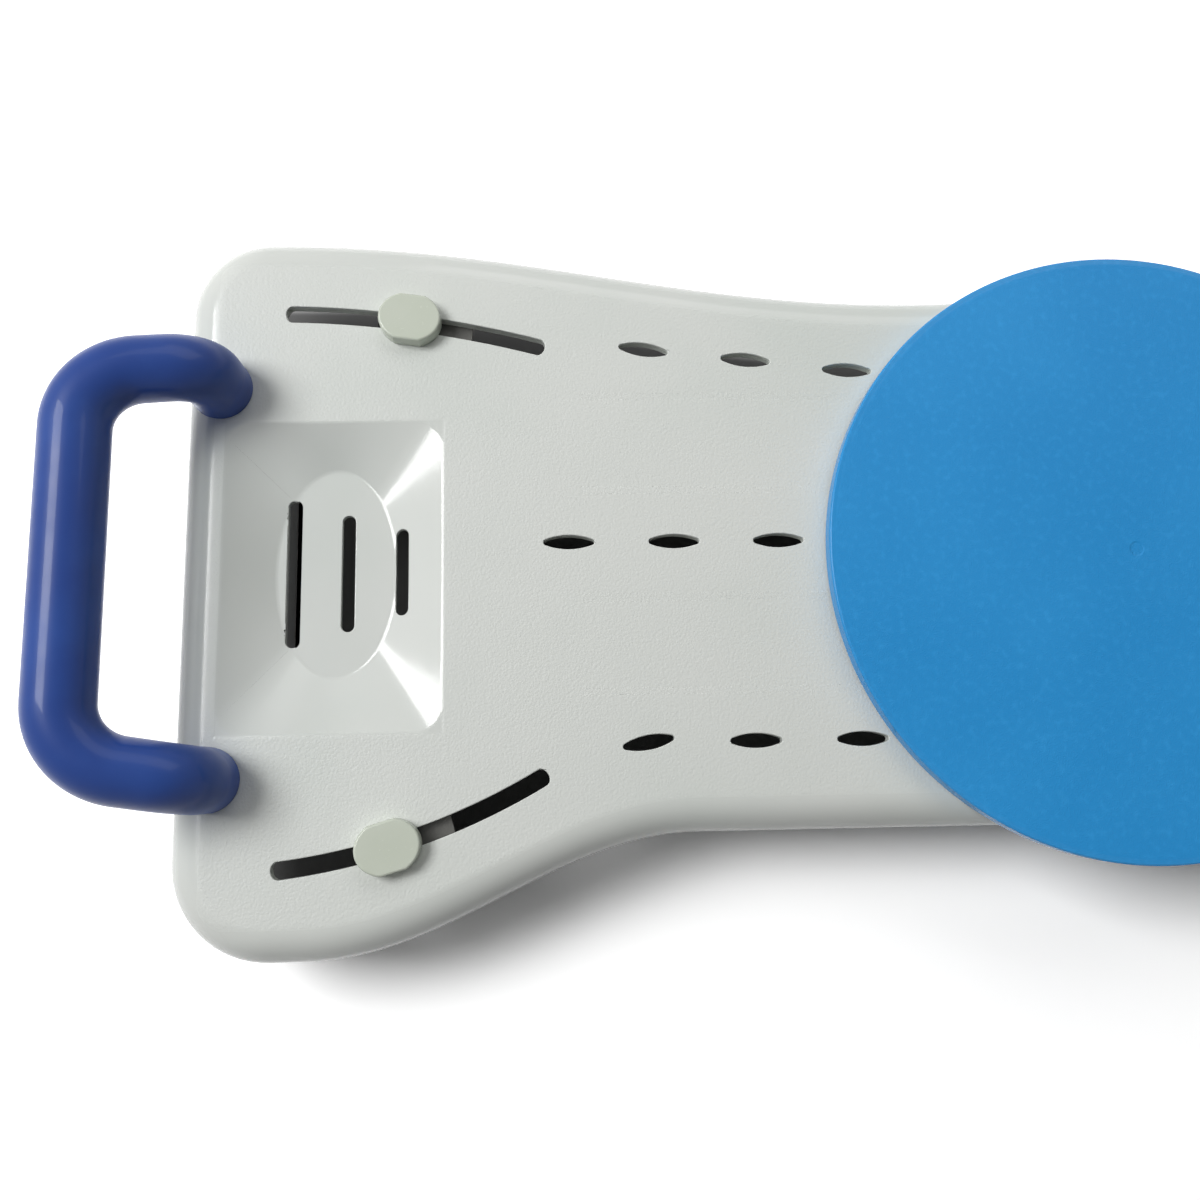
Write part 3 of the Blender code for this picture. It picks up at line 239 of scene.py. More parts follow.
def edge_distance(x, y):
    """How far a point of the board lies inside its waisted outline, as a wire."""

    def half_width(waist, full, start, end):
        run = ease(calculate("ABSOLUTE", x), start, end, "LINEAR")
        wave = calculate("COSINE", run * math.pi)
        return waist + (full - waist) / 2 * (1 - wave)

    rear = half_width(REAR_WAIST, REAR_END, 0.0, HALF_LENGTH - REAR_END_RUN) - y
    front = half_width(FRONT_WAIST, FRONT_END, FRONT_WAIST_RUN, HALF_LENGTH - FRONT_END_RUN) + y
    ends = HALF_LENGTH - calculate("ABSOLUTE", x)
    return calculate("MINIMUM", calculate("MINIMUM", rear, front), ends)


# %% Floor
FLOOR_SIZE = 12.0
FLOOR_GREY = 0.50  # for the light that it gives back
FLOOR_WHITE = 1.65  # for the camera
# Painted shade: under the board the floor's colour is painted darker, to stand in for the deep shade there.
PAINTED_SHADE_UNDER_BOARD = 0.10  # share of the floor's colour that is left under the board
PAINTED_SHADE_EDGE = 0.012
NEAR_SEAT = 0.55
FAR_FROM_SEAT = 1.1  # from here on the floor is plain white

bpy.ops.object.select_all(action="DESELECT")
bpy.ops.mesh.primitive_plane_add(size=FLOOR_SIZE, location=(0.0, 0.0, 0.0))
floor = bpy.context.object
floor.name = "floor"
floor_paint, floor_place, _ = new_finish("floor_paint", (FLOOR_GREY,) * 3, 0.9)
floor_tree = floor_paint.node_tree
floor_x, floor_y, _ = parts_of(floor_place)
# Mask of the painted shade: 0 outside the board's outline, 1 a little way inside it.
painted_shade_mask = ease(edge_distance(floor_x - MIDDLE, floor_y), 0.0, PAINTED_SHADE_EDGE)


def floor_shader(value):
    """A plain matt floor, with painted shade under the board."""
    shade = blend_colors(painted_shade_mask, (value,) * 3, (value * PAINTED_SHADE_UNDER_BOARD,) * 3)
    return painted_shade_mask.add("ShaderNodeBsdfDiffuse", {}, {"Color": shade})


grey = floor_shader(FLOOR_GREY)
white = floor_shader(FLOOR_WHITE)
glow = floor_place.add("ShaderNodeEmission", {}, {"Strength": 1.0})
away = floor_place.add("ShaderNodeVectorMath", {"operation": "LENGTH"}, {0: floor_place}, output="Value")
seen = mix_shaders(ease(away, NEAR_SEAT, FAR_FROM_SEAT), white, glow)
floor_look = mix_shaders(rays_that_look(floor_tree), grey, seen)
feed(floor_tree.nodes["Material Output"], "Surface", floor_look)
floor.data.materials.append(floor_paint)


# %% Lamps
BOARD_PLACE = (0.0, 0.0, TOP)
WINDOW_PLACE = (-1.53, 0.47, 1.87)
WINDOW_SIZE = (1.0, 1.0)
WINDOW_POWER = 36.0
REAR_WINDOW_PLACE = (0.3, 0.90, 1.0)
REAR_WINDOW_SIZE = (1.4, 0.8)
REAR_WINDOW_POWER = 4.4


def add_panel_light(name, place, size, power):
    """A flat studio light at a place, turned towards the board."""
    bpy.ops.object.light_add(type="AREA", location=place)
    lamp = bpy.context.object
    lamp.name = name
    lamp.data.shape = "RECTANGLE"
    lamp.data.size, lamp.data.size_y = size
    lamp.data.energy = power
    way = Vector(BOARD_PLACE) - Vector(place)
    lamp.rotation_euler = way.to_track_quat("-Z", "Y").to_euler()
    print(name, "is", round(way.length, 2), "m from the board")


add_panel_light("window", WINDOW_PLACE, WINDOW_SIZE, WINDOW_POWER)
add_panel_light("rear_window", REAR_WINDOW_PLACE, REAR_WINDOW_SIZE, REAR_WINDOW_POWER)

# %% Sky
SKY_LOW = 0.09  # strength near the horizon
SKY_RISE = 0.12  # how much stronger it is straight above
SKY_BEHIND = 0.10  # how much stronger it is behind the seat
SKY_LEFT = 0.30  # how much stronger it is on its left

world = bpy.data.worlds.new("sky")
bpy.context.scene.world = world
world.use_nodes = True
sky = world.node_tree.nodes["Background"]
sky.inputs["Color"].default_value = (1.0, 1.0, 1.0, 1.0)
way = Wire(world.node_tree).add("ShaderNodeTexCoord", {}, {}, output="Generated")
way_x, way_y, way_z = parts_of(way)
glimmer = SKY_LOW + way_z * SKY_RISE + way_y * SKY_BEHIND - way_x * SKY_LEFT
look = rays_that_look(world.node_tree)
feed(sky, "Strength", look + (1 - look) * calculate("MAXIMUM", glimmer, 0.0))

# %% [markdown]
# ## Finishes
# The board is one white moulding. Its flat top has a fine leather grain that keeps a wet foot from
# slipping, and the grain fades out before the rolled edge, which is glossy, as is the dish.

# %% White board plastic
EDGE_ROLL = 0.018
DISH_X = 0.0765 - HALF_LENGTH
DISH_Y = 0.003
DISH_LENGTH = 0.108
DISH_WIDTH = 0.156

BOARD_WHITE = (0.715, 0.735, 0.700)
BOARD_SHADE = (0.655, 0.690, 0.650)
BOARD_GLOSS = 0.12  # roughness of the rolled edge and the dish
GRAIN_ROUGHNESS = 0.27  # how much rougher the grained top is
CREASE_ROUGHNESS = 0.12
GRAIN_SCALE = 800.0
GRAIN_WANDER = 0.0012
GRAIN_DEPTH = 0.00020
GRAIN_START = EDGE_ROLL * 0.75  # how far inside the outline it fades in
GRAIN_FULL = EDGE_ROLL * 1.15
WAVE_SCALE = 60.0
WAVE_HEIGHT = 0.4  # in depths of the grain
BOARD_CLOUDS = 7.0  # in a metre


def grain(place, scale):
    """Leather grain: rounded pebbles of uneven size, with creases between them."""
    wander = noise(place, scale * 0.35, 2.0)
    offset = wander * GRAIN_WANDER
    moved = place.add("ShaderNodeVectorMath", {"operation": "ADD"}, {0: place, 1: offset})
    pebbles = cells(moved, scale, "SMOOTH_F1")
    return (1 - pebbles) * 0.7 + noise(place, scale * 1.7, 2.0) * 0.5


def board_finish():
    material, place, shader = new_finish("board_plastic", BOARD_WHITE, 0.4)
    x, y, z = parts_of(place)
    x = x - MIDDLE
    flat = ease(edge_distance(x, y), GRAIN_START, GRAIN_FULL)
    off_x = calculate("ABSOLUTE", x - DISH_X) / (DISH_LENGTH / 2)
    off_y = calculate("ABSOLUTE", y - DISH_Y) / (DISH_WIDTH / 2)
    outside_dish = ease(calculate("MAXIMUM", off_x, off_y), 0.99, 1.03)
    above = ease(z, TOP - 0.0030, TOP - 0.0015)
    rough = flat * outside_dish * above
    cloud = ease(noise(place, BOARD_CLOUDS, 3.0), 0.35, 0.75)
    feed(shader, "Base Color", blend_colors(cloud, BOARD_WHITE, BOARD_SHADE))
    pattern = grain(place, GRAIN_SCALE)
    grained = GRAIN_ROUGHNESS + pattern * CREASE_ROUGHNESS
    feed(shader, "Roughness", BOARD_GLOSS + rough * grained)
    bump(shader, pattern * rough + noise(place, WAVE_SCALE) * WAVE_HEIGHT, GRAIN_DEPTH)
    return material


FINISHES = {"board_plastic": board_finish()}

# %% [markdown]
# The handle is a glossy dark blue tube. Real moulded gloss isn't a perfect mirror: it has a slight
# waviness, like the peel of an orange, and hands leave it a little duller here and there.

# %% Dark blue handle plastic
HANDLE_BLUE = (0.008, 0.048, 0.262)
HANDLE_WORN = (0.013, 0.064, 0.310)
HANDLE_ROUGHNESS = 0.36
HANDLED_ROUGHNESS = 0.10  # how much rougher the hands make it
HANDLED_SCALE = 55.0
WORN_SCALE = 24.0
PEEL_SCALE = 90.0
PEEL_DEPTH = 0.00008


def handle_finish():
    gloss = {"Specular_IOR_Level": 0.26, "Coat_Weight": 0.2, "Coat_Roughness": 0.04}
    material, place, shader = new_finish("handle_plastic", HANDLE_BLUE, HANDLE_ROUGHNESS, **gloss)
    cloud = ease(noise(place, WORN_SCALE, 4.0), 0.35, 0.7)
    feed(shader, "Base Color", blend_colors(cloud, HANDLE_BLUE, HANDLE_WORN))
    handled = ease(noise(place, HANDLED_SCALE, 5.0), 0.4, 0.75)
    feed(shader, "Roughness", HANDLE_ROUGHNESS + HANDLED_ROUGHNESS * handled)
    bump(shader, noise(place, PEEL_SCALE, 1.0), PEEL_DEPTH)
    return material


FINISHES["handle_plastic"] = handle_finish()

# %% [markdown]
# The disc is bright blue and finely stippled, so that a wet skin doesn't stick to it. The stipple is
# only on its flat top: the rounded rim is smooth and catches the light in a thin line. In the middle is
# the small scar where the plastic was fed into the mould.

# %% Bright blue disc plastic
DISC_BLUE = (0.018, 0.280, 0.660)
DISC_PALE = (0.034, 0.350, 0.775)
DISC_GLOSS = 0.24  # roughness of the rim
STIPPLE_ROUGHNESS = 0.18  # how much rougher the stippled top is
STIPPLE_SCALE = 1250.0
STIPPLE_DEPTH = 0.00012
SPECK_SCALE = 260.0
PATCH_SCALE = 11.0
SCAR_RADIUS = 0.004
SCAR_SCALE = 700.0
disc_low, disc_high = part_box("swivel_disc")
DISC_RADIUS = (disc_high.x - disc_low.x) / 2
DISC_TOP = disc_high.z


def disc_finish():
    material, place, shader = new_finish("disc_plastic", DISC_BLUE, 0.42, Specular_IOR_Level=0.3)
    x, y, z = parts_of(place)
    off_x, off_y = x - DISC_AXIS.x, y - DISC_AXIS.y
    radius = calculate("SQRT", off_x * off_x + off_y * off_y)
    inside = ease(radius, DISC_RADIUS - 0.0022, DISC_RADIUS - 0.0042)
    flat = inside * ease(z, DISC_TOP - 0.0012, DISC_TOP - 0.0004)
    scar = ease(radius, SCAR_RADIUS, SCAR_RADIUS * 0.7) * (0.4 + noise(place, SCAR_SCALE, 1.0))
    stipple = 1 - ease(cells(place, STIPPLE_SCALE), 0.1, 0.6)
    fine = noise(place, STIPPLE_SCALE * 0.5, 3.0)
    specks = ease(noise(place, SPECK_SCALE, 4.0), 0.45, 0.85)
    patches = ease(noise(place, PATCH_SCALE), 0.3, 0.8)
    cloud = specks * 0.6 + patches * 0.4
    feed(shader, "Base Color", blend_colors(cloud, DISC_BLUE, DISC_PALE))
    feed(shader, "Roughness", DISC_GLOSS + flat * (STIPPLE_ROUGHNESS + fine * 0.1))
    bump(shader, (stipple * 0.6 + fine * 0.6) * flat - scar * 2.5, STIPPLE_DEPTH)
    return material


FINISHES["disc_plastic"] = disc_finish()


# %% [markdown]
# The small parts have plainer finishes: ivory caps, grey feet with a light spark-eroded texture, black
# nuts, rubber, and turned steel and brass whose fine rings follow the tool.

# %% Plastics and rubber of the small parts
def speckled_finish(name, color, pale, roughness, scale, depth):
    """A moulded finish: a colour that varies a little, and a fine even texture."""
    material, place, shader = new_finish(name, color, roughness)
    fine = noise(place, scale, 3.0)
    cloud = noise(place, scale / 18, 3.0)
    feed(shader, "Base Color", blend_colors(ease(cloud, 0.3, 0.75), color, pale))
    feed(shader, "Roughness", roughness * 0.85 + fine * (roughness * 0.3))
    bump(shader, fine + cloud * 0.4, depth)
    return material


# colour, paler colour, roughness, specks in a metre, depth of the specks
SMALL_PLASTICS = {
    "cap_plastic": ((0.570, 0.615, 0.515), (0.610, 0.650, 0.560), 0.26, 500.0, 0.00004),
    "foot_plastic": ((0.085, 0.085, 0.078), (0.110, 0.108, 0.098), 0.48, 900.0, 0.00010),
    "nut_plastic": ((0.016, 0.016, 0.017), (0.026, 0.026, 0.027), 0.42, 900.0, 0.00008),
    "bush_plastic": ((0.022, 0.022, 0.022), (0.030, 0.030, 0.030), 0.35, 700.0, 0.00004),
    "glide_plastic": ((0.740, 0.735, 0.690), (0.780, 0.775, 0.740), 0.38, 700.0, 0.00004),
    "rubber": ((0.020, 0.020, 0.020), (0.034, 0.033, 0.031), 0.80, 1100.0, 0.00012),
}
for name, recipe in SMALL_PLASTICS.items():
    FINISHES[name] = speckled_finish(name, *recipe)


# %% Turned metal
RING_DEPTH = 0.00003


def metal_finish(name, color, pale, roughness):
    """Metal with the faint rings of the lathe, and a few clouds where it was handled."""
    material, place, shader = new_finish(name, color, roughness, Metallic=1.0)
    x, y, z = parts_of(place)
    squeezed = place.add("ShaderNodeCombineXYZ", {}, {"X": x * 0.2, "Y": y * 0.2, "Z": z * 6.0})
    rings = noise(squeezed, 900.0)
    cloud = noise(place, 90.0, 4.0)
    feed(shader, "Base Color", blend_colors(ease(cloud, 0.3, 0.8), color, pale))
    feed(shader, "Roughness", roughness + 0.16 * cloud)
    bump(shader, rings, RING_DEPTH)
    return material


FINISHES["steel"] = metal_finish("steel", (0.56, 0.57, 0.58), (0.66, 0.66, 0.66), 0.22)
FINISHES["brass"] = metal_finish("brass", (0.56, 0.40, 0.14), (0.68, 0.50, 0.20), 0.24)
print("finishes:", ", ".join(FINISHES))

# %% [markdown]
# ## Working by hand, from a script
# Each piece starts as a primitive and is shaped with the same tools as in the viewport. A tool works on
# what is selected, so everything is deselected first, and faces, edges or points are then picked by
# where they are. The place of a piece is baked into its mesh, so its object stays at the origin.

# %% Places and new pieces
def at(x, y, z=0.0):
    """A point given from the middle of the board's top."""
    return Vector((MIDDLE + x, y, TOP + z))


def added(name, size=(1.0, 1.0, 1.0)):
    """Names the primitive that was just added, sizes it, and bakes its place into its mesh."""
    piece = bpy.context.object
    piece.name = name
    piece.scale = size
    bpy.ops.object.transform_apply(location=True, rotation=True, scale=True)
    return piece


# %% In and out of edit mode
def work_on(*chosen):
    """Selects only these pieces, the first as the active one."""
    bpy.ops.object.select_all(action="DESELECT")
    for piece in chosen:
        piece.select_set(True)
    bpy.context.view_layer.objects.active = chosen[0]


def edit(piece):
    work_on(piece)
    bpy.ops.object.mode_set(mode="EDIT")


def done():
    bpy.ops.object.mode_set(mode="OBJECT")


# %% Picking points, edges and faces
def pick(kind, test):
    """Selects the points, edges or faces that pass a test, and says how many they are."""
    bpy.ops.mesh.select_mode(type=kind)
    bpy.ops.mesh.select_all(action="DESELECT")
    mesh = bpy.context.edit_object.data
    shape = bmesh.from_edit_mesh(mesh)
    shape.normal_update()
    parts = {"VERT": shape.verts, "EDGE": shape.edges, "FACE": shape.faces}[kind]
    chosen = [part for part in parts if test(part)]
    for part in chosen:
        part.select_set(True)
    shape.select_flush_mode()
    bmesh.update_edit_mesh(mesh)
    return len(chosen)


def pick_all(kind=None):
    """Selects everything, as points, edges or faces where a kind is given."""
    if kind:
        bpy.ops.mesh.select_mode(type=kind)
    bpy.ops.mesh.select_all(action="SELECT")


def level(part, height):
    """Whether all of an edge's or face's points lie at a height."""
    return all(abs(point.co.z - height) < TINY for point in part.verts)


# %% Shaping what is picked
MERGE = 1e-6  # points that lie closer than this become one


def extrude(x=0.0, y=0.0, z=0.0):
    bpy.ops.mesh.extrude_region_move(TRANSFORM_OT_translate={"value": (x, y, z)})


def round_off(radius, segments=3, affect="EDGES"):
    """Bevels what is picked."""
    settings = {"offset": radius, "offset_type": "OFFSET", "segments": segments, "profile": 0.5}
    bpy.ops.mesh.bevel(affect=affect, clamp_overlap=False, **settings)


def tidy_normals():
    """Merges points that lie on each other, and turns all faces outwards."""
    pick_all()
    bpy.ops.mesh.remove_doubles(threshold=MERGE)
    bpy.ops.mesh.normals_make_consistent(inside=False)


# %% [markdown]
# ## The board
# The real board is one injection moulding: a skin of even thickness, open below, with ribs that keep it
# stiff. Its outline is waisted, so each column of points along a long strip is moved to the edge's
# curve. The corners are rounded in plan, the strip is pulled down into a slab, and its upper edge is
# rolled over. A copy of this plain slab is kept, to trim ribs and the handle's legs with.

# %% The board's plain form
BOARD_DEPTH = TOP - BOTTOM
REAR_CORNER = 0.041
FRONT_CORNER = 0.048
EDGE_COLUMNS = 63
CORNER_SEGMENTS = 16
ROLL_SEGMENTS = 12


def swept(x, waist, full, start, end):
    """Half a width that eases from the waist at start to its full size at end."""
    run = min(max((abs(x) - start) / (end - start), 0.0), 1.0)
    return waist + (full - waist) * (1 - math.cos(math.pi * run)) / 2


def rear_edge(x):
    return swept(x, REAR_WAIST, REAR_END, 0.0, HALF_LENGTH - REAR_END_RUN)


def front_edge(x):
    return -swept(x, FRONT_WAIST, FRONT_END, FRONT_WAIST_RUN, HALF_LENGTH - FRONT_END_RUN)


def board_form():
    straight = HALF_LENGTH - REAR_END_RUN
    width = REAR_END + FRONT_END
    place = at(0.0, (REAR_END - FRONT_END) / 2)
    bpy.ops.mesh.primitive_plane_add(size=1.0, location=place)
    form = added("board_form", (2 * straight, width, 1.0))
    edit(form)
    pick("EDGE", lambda edge: abs(edge.verts[0].co.y - edge.verts[1].co.y) < TINY)
    bpy.ops.mesh.subdivide(number_cuts=EDGE_COLUMNS)
    for column in range(EDGE_COLUMNS + 2):
        x = straight * (2 * column / (EDGE_COLUMNS + 1) - 1)
        for edge, full in ((rear_edge, REAR_END), (front_edge, -FRONT_END)):
            pick("VERT", lambda point: abs(point.co.x - MIDDLE - x) < TINY and point.co.y * full > 0)
            bpy.ops.transform.translate(value=(0.0, edge(x) - full, 0.0))
    for side in (-1, 1):
        end = MIDDLE + side * straight
        pick("EDGE", lambda edge: all(abs(point.co.x - end) < TINY for point in edge.verts))
        extrude(x=side * REAR_END_RUN)
    for full, radius in ((REAR_END, REAR_CORNER), (-FRONT_END, FRONT_CORNER)):
        reach = HALF_LENGTH - TINY
        pick("VERT", lambda point: abs(point.co.x - MIDDLE) > reach and point.co.y * full > 0)
        round_off(radius, CORNER_SEGMENTS, affect="VERTICES")
    pick_all()
    bpy.ops.mesh.dissolve_faces()
    extrude(z=-BOARD_DEPTH)
    tidy_normals()
    pick("EDGE", lambda edge: level(edge, TOP))
    round_off(EDGE_ROLL, ROLL_SEGMENTS)
    done()
    return form


form = board_form()
print("the board's form has", len(form.data.polygons), "faces")

# %% [markdown]
# ## Dish and panels
# The dish holds soap or a shower head. Its rim is a rounded rectangle and its floor an oval, so four
# slopes meet in creases at the corners. The floor starts as a copy of the rim, pulled down; "To Sphere"
# then turns it into a circle, point by point, and scaling makes the oval. Two more hollows in the top
# are only a millimetre deep: they stiffen the wide flat skin.

# %% Tools that press the hollows
DISH_DEPTH = 0.013
DISH_CORNER = 0.013
DISH_FLOOR_LENGTH = 0.060
DISH_FLOOR_WIDTH = 0.106
DISH_FLOOR_ROUND = 0.0012
DISH_FLOOR_SHIFT = 0.003  # towards the rear
DISH_SIDE_CUTS = 23
OVERCUT = 0.005
PANEL_DEPTH = 0.0012
PANEL_SLOPE = 0.007
PANEL_CORNER = 0.012
HOLLOW_SEGMENTS = 8
PANEL_ENDS = (-0.186, -0.016)
PANEL_SIDES = ((-0.062, -0.004), (0.039, 0.100))


def rounded_plate(middle, length, width, corner):
    """A flat plate with rounded corners, left in edit mode."""
    bpy.ops.mesh.primitive_plane_add(size=1.0, location=middle)
    plate = added("plate", (length, width, 1.0))
    edit(plate)
    pick_all("VERT")
    round_off(corner, HOLLOW_SEGMENTS, affect="VERTICES")
    return plate


def dish_tool():
    middle = at(DISH_X, DISH_Y)
    deep = at(DISH_X, DISH_Y, -DISH_DEPTH)
    tool = rounded_plate(middle, DISH_LENGTH, DISH_WIDTH, DISH_CORNER)
    pick("EDGE", lambda edge: edge.calc_length() > 2 * DISH_CORNER)
    bpy.ops.mesh.subdivide(number_cuts=DISH_SIDE_CUTS)
    pick_all()
    extrude(z=-DISH_DEPTH)
    bpy.ops.transform.resize(value=(1.0, DISH_LENGTH / DISH_WIDTH, 1.0), center_override=deep)
    bpy.ops.transform.tosphere(value=1.0, center_override=deep)
    shape = bmesh.from_edit_mesh(tool.data)
    lowest = [point.co - middle for point in shape.verts if point.co.z < TOP - TINY]
    radius = lowest[0].xy.length
    oval = (DISH_FLOOR_LENGTH / 2 / radius, DISH_FLOOR_WIDTH / 2 / radius, 1.0)
    bpy.ops.transform.resize(value=oval, center_override=deep)
    bpy.ops.transform.translate(value=(0.0, DISH_FLOOR_SHIFT, 0.0))
    pick("EDGE", lambda edge: level(edge, TOP - DISH_DEPTH))
    round_off(DISH_FLOOR_ROUND)
    pick("FACE", lambda face: level(face, TOP))
    extrude(z=OVERCUT)
    tidy_normals()
    done()
    return tool


def panel_tool(low_y, high_y):
    left, right = PANEL_ENDS
    middle = at((left + right) / 2, (low_y + high_y) / 2)
    length, width = right - left, high_y - low_y
    tool = rounded_plate(middle, length, width, PANEL_CORNER)
    for rise, grow in ((-PANEL_DEPTH, -PANEL_SLOPE), (PANEL_DEPTH, PANEL_SLOPE)):
        pick("FACE", lambda face: level(face, TOP))
        extrude(z=rise)
        shrink = ((length + 2 * grow) / length, (width + 2 * grow) / width, 1.0)
        bpy.ops.transform.resize(value=shrink, center_override=middle)
    tidy_normals()
    done()
    return tool


# %% [markdown]
# A Boolean modifier takes the shape of a tool out of a piece. Its Manifold solver is fast, and needs
# closed shapes. A modifier only shows a result: applying it makes the result the mesh itself.

# %% Press them into a copy of the slab
def apply_modifier(piece, kind, **settings):
    """Adds a modifier, sets it up and applies it."""
    work_on(piece)
    modifier = piece.modifiers.new(kind.lower(), kind)
    for name, value in settings.items():
        setattr(modifier, name, value)
    bpy.ops.object.modifier_apply(modifier=modifier.name)


def combine(piece, operation, *tools):
    """Cuts, joins or trims a piece by one tool after another, which then go."""
    for tool in tools:
        apply_modifier(piece, "BOOLEAN", operation=operation, object=tool, solver="MANIFOLD")
        bpy.data.objects.remove(tool)


def copy_of(piece, name):
    """A copy of a piece, with its own mesh."""
    twin = piece.copy()
    twin.data = piece.data.copy()
    twin.name = name
    bpy.context.scene.collection.objects.link(twin)
    return twin


solid = copy_of(form, "board")
combine(solid, "DIFFERENCE", dish_tool(), *[panel_tool(*sides) for sides in PANEL_SIDES])
print("with its hollows it has", len(solid.data.polygons), "faces")

# %% [markdown]
# The hollows are pressed from a solid slab. Without its bottom it is an open surface, and Solidify then
# gives it an even wall on its inner side, which is how a mould leaves it.

# %% From slab to shell
BOARD_WALL = 0.0033

edit(solid)
pick("FACE", lambda face: level(face, BOTTOM))
bpy.ops.mesh.delete(type="FACE")
done()
apply_modifier(solid, "SOLIDIFY", thickness=BOARD_WALL, offset=-1.0, use_even_offset=True)
print("the shell has", len(solid.data.polygons), "faces")

# %% [markdown]
# ## Ribs and lips
# Below the skin run ribs along and across the board, thick bands that carry the rubber strips, a lip
# round each slot and drain hole, a boss under each leg of the handle, and the collar in which the disc
# turns. Those that reach the edge are trimmed by a slightly smaller copy of the plain slab, so that none
# of them shows through the rolled edge, and then all are united with the skin. Each kind ends at its own
# height inside the skin, because a Boolean works best where no two faces lie in one plane.

# %% Ribs
RIB_WALL = 0.0025
RIB_DEPTH = 0.022
RIB_YS = (-0.050, -0.0047, 0.0407, 0.086)
RIB_PITCH = 0.0525
END_RIB = 0.225
FULL_RIBS = 2  # how many cross ribs on each side of the middle run the full width
LONG_RIB_TOP = -0.0020
CROSS_RIB_TOP = -0.0019
LAND_TOP = -0.0018
LIP_TOP = -0.0017
BOSS_TOP = -0.0016
LAND_WALL = 0.012
LAND_YS = (-0.088, 0.092)
land_near = HALF_LENGTH - 0.1198
land_far = HALF_LENGTH - 0.0312


def block(low, high):
    """A box between two corners."""
    middle = (Vector(low) + Vector(high)) / 2
    bpy.ops.mesh.primitive_cube_add(size=1.0, location=middle)
    return added("block", Vector(high) - Vector(low))


def ribs():
    half = RIB_WALL / 2
    made = []
    for y in RIB_YS:
        made.append(block(at(-END_RIB, y - half, -RIB_DEPTH), at(HALF_LENGTH, y + half, LONG_RIB_TOP)))
    places = [step * RIB_PITCH for step in range(-FULL_RIBS - 1, FULL_RIBS + 2)] + [-END_RIB, END_RIB]
    for x in places:
        full = abs(x) < (FULL_RIBS + 0.5) * RIB_PITCH
        near, far = (-FRONT_END, REAR_END) if full else (RIB_YS[0], RIB_YS[-1])
        made.append(block(at(x - half, near, GAP - RIB_DEPTH), at(x + half, far, CROSS_RIB_TOP)))
    for side in (-1, 1):
        for y in LAND_YS:
            low, high = sorted((side * land_near, side * land_far))
            foot = at(low, y - LAND_WALL / 2, -BOARD_DEPTH)
            made.append(block(foot, at(high, y + LAND_WALL / 2, LAND_TOP)))
    return made


# %% [markdown]
# Each foot slot is an arc about the joint that the foot turns on, so the working model gives its centre
# and its two ends. An upright face spun about that joint makes the slot, and its four end corners are
# bevelled until they meet in a half circle.

# %% Foot slots
SLOT_WIDTH = 0.0086
SLOT_LIP = 0.006
SLOT_END_MARGIN = 0.003
SLOT_STEPS = 40
SLOT_END_SEGMENTS = 8
SLOT_CORNER_ANGLE = math.radians(45)
LIP_DEPTH = 0.006
CORNERS = ("rear_left", "front_left", "rear_right", "front_right")


def upright(edge):
    """Whether an edge stands straight up."""
    first, second = edge.verts
    return math.hypot(first.co.x - second.co.x, first.co.y - second.co.y) < TINY


def spin(angle, centre, axis, steps, copies=False):
    """Turns what is picked about an axis, and leaves a wall behind, or a copy. From a script the tool
    turns the other way than in the viewport, hence the minus."""
    bpy.ops.mesh.spin(steps=steps, dupli=copies, angle=-angle, center=centre, axis=axis)


def slot_tool(corner, grow, low, high):
    """A curved slot for one foot, made wider all round by grow."""
    joint = joints[f"foot_{corner}_slide"]
    centre = Vector(joint["pos_m"])
    cap_low, cap_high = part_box("foot_cap_" + corner)
    out = ((cap_low + cap_high) / 2 - centre).xy
    radius = out.length
    half = SLOT_WIDTH / 2 + grow
    past_end = (half + SLOT_END_MARGIN) / radius
    rest = math.atan2(out.y, out.x)
    start, end = (rest + math.radians(limit) for limit in joint["range_deg"])
    start -= past_end
    end += past_end
    middle = Vector((centre.x, centre.y, TOP + (low + high) / 2)) + Vector((radius, 0.0, 0.0))
    bpy.ops.mesh.primitive_plane_add(size=1.0, location=middle, rotation=(math.pi / 2, 0.0, 0.0))
    tool = added("slot", (2 * half, high - low, 1.0))
    edit(tool)
    pick_all()
    spin(start, centre, UP, 1, copies=True)
    pick("FACE", lambda face: abs(face.calc_center_median().y - centre.y) < TINY)
    bpy.ops.mesh.delete(type="FACE")
    pick_all()
    spin(end - start, centre, UP, SLOT_STEPS)
    tidy_normals()
    pick("EDGE", lambda edge: upright(edge) and edge.calc_face_angle() > SLOT_CORNER_ANGLE)
    round_off(half - TINY, SLOT_END_SEGMENTS)
    done()
    return tool


# %% [markdown]
# A drain hole is the lens that two cylinders share, with its tips cut off. The holes lie in three rows,
# and the rear and front rows are repeated under the disc, as mirror images.

# %% Drain holes
DRAIN_LENGTH = 0.0255
DRAIN_WIDTH = 0.0072
DRAIN_TIP = 0.0022  # what is cut off the lens at each tip
DRAIN_CORNER = 0.0009
TIP_SEGMENTS = 4
TIP_ANGLE = math.radians(30)
DRAIN_SIDES = 72
DRAIN_LIP = 0.0025
DRAINS_IN_ROW = 3
DRAIN_PITCH = 0.0527
REAR_ROW = (-0.137, 0.1193)  # place of the first hole
REAR_ROW_STEP = -0.0057
REAR_ROW_TILT = -8.0
MIDDLE_ROW = (-0.1767, 0.0183)
FRONT_ROW = (-0.1393, -0.0815)
FRONT_ROW_TILT = 10.0  # only the first hole has it


def rod(radius, foot, length, sides=48):
    """An upright cylinder that stands on a point."""
    middle = foot + Vector((0.0, 0.0, length / 2))
    bpy.ops.mesh.primitive_cylinder_add(radius=radius, depth=length, vertices=sides, location=middle)
    return added("rod")


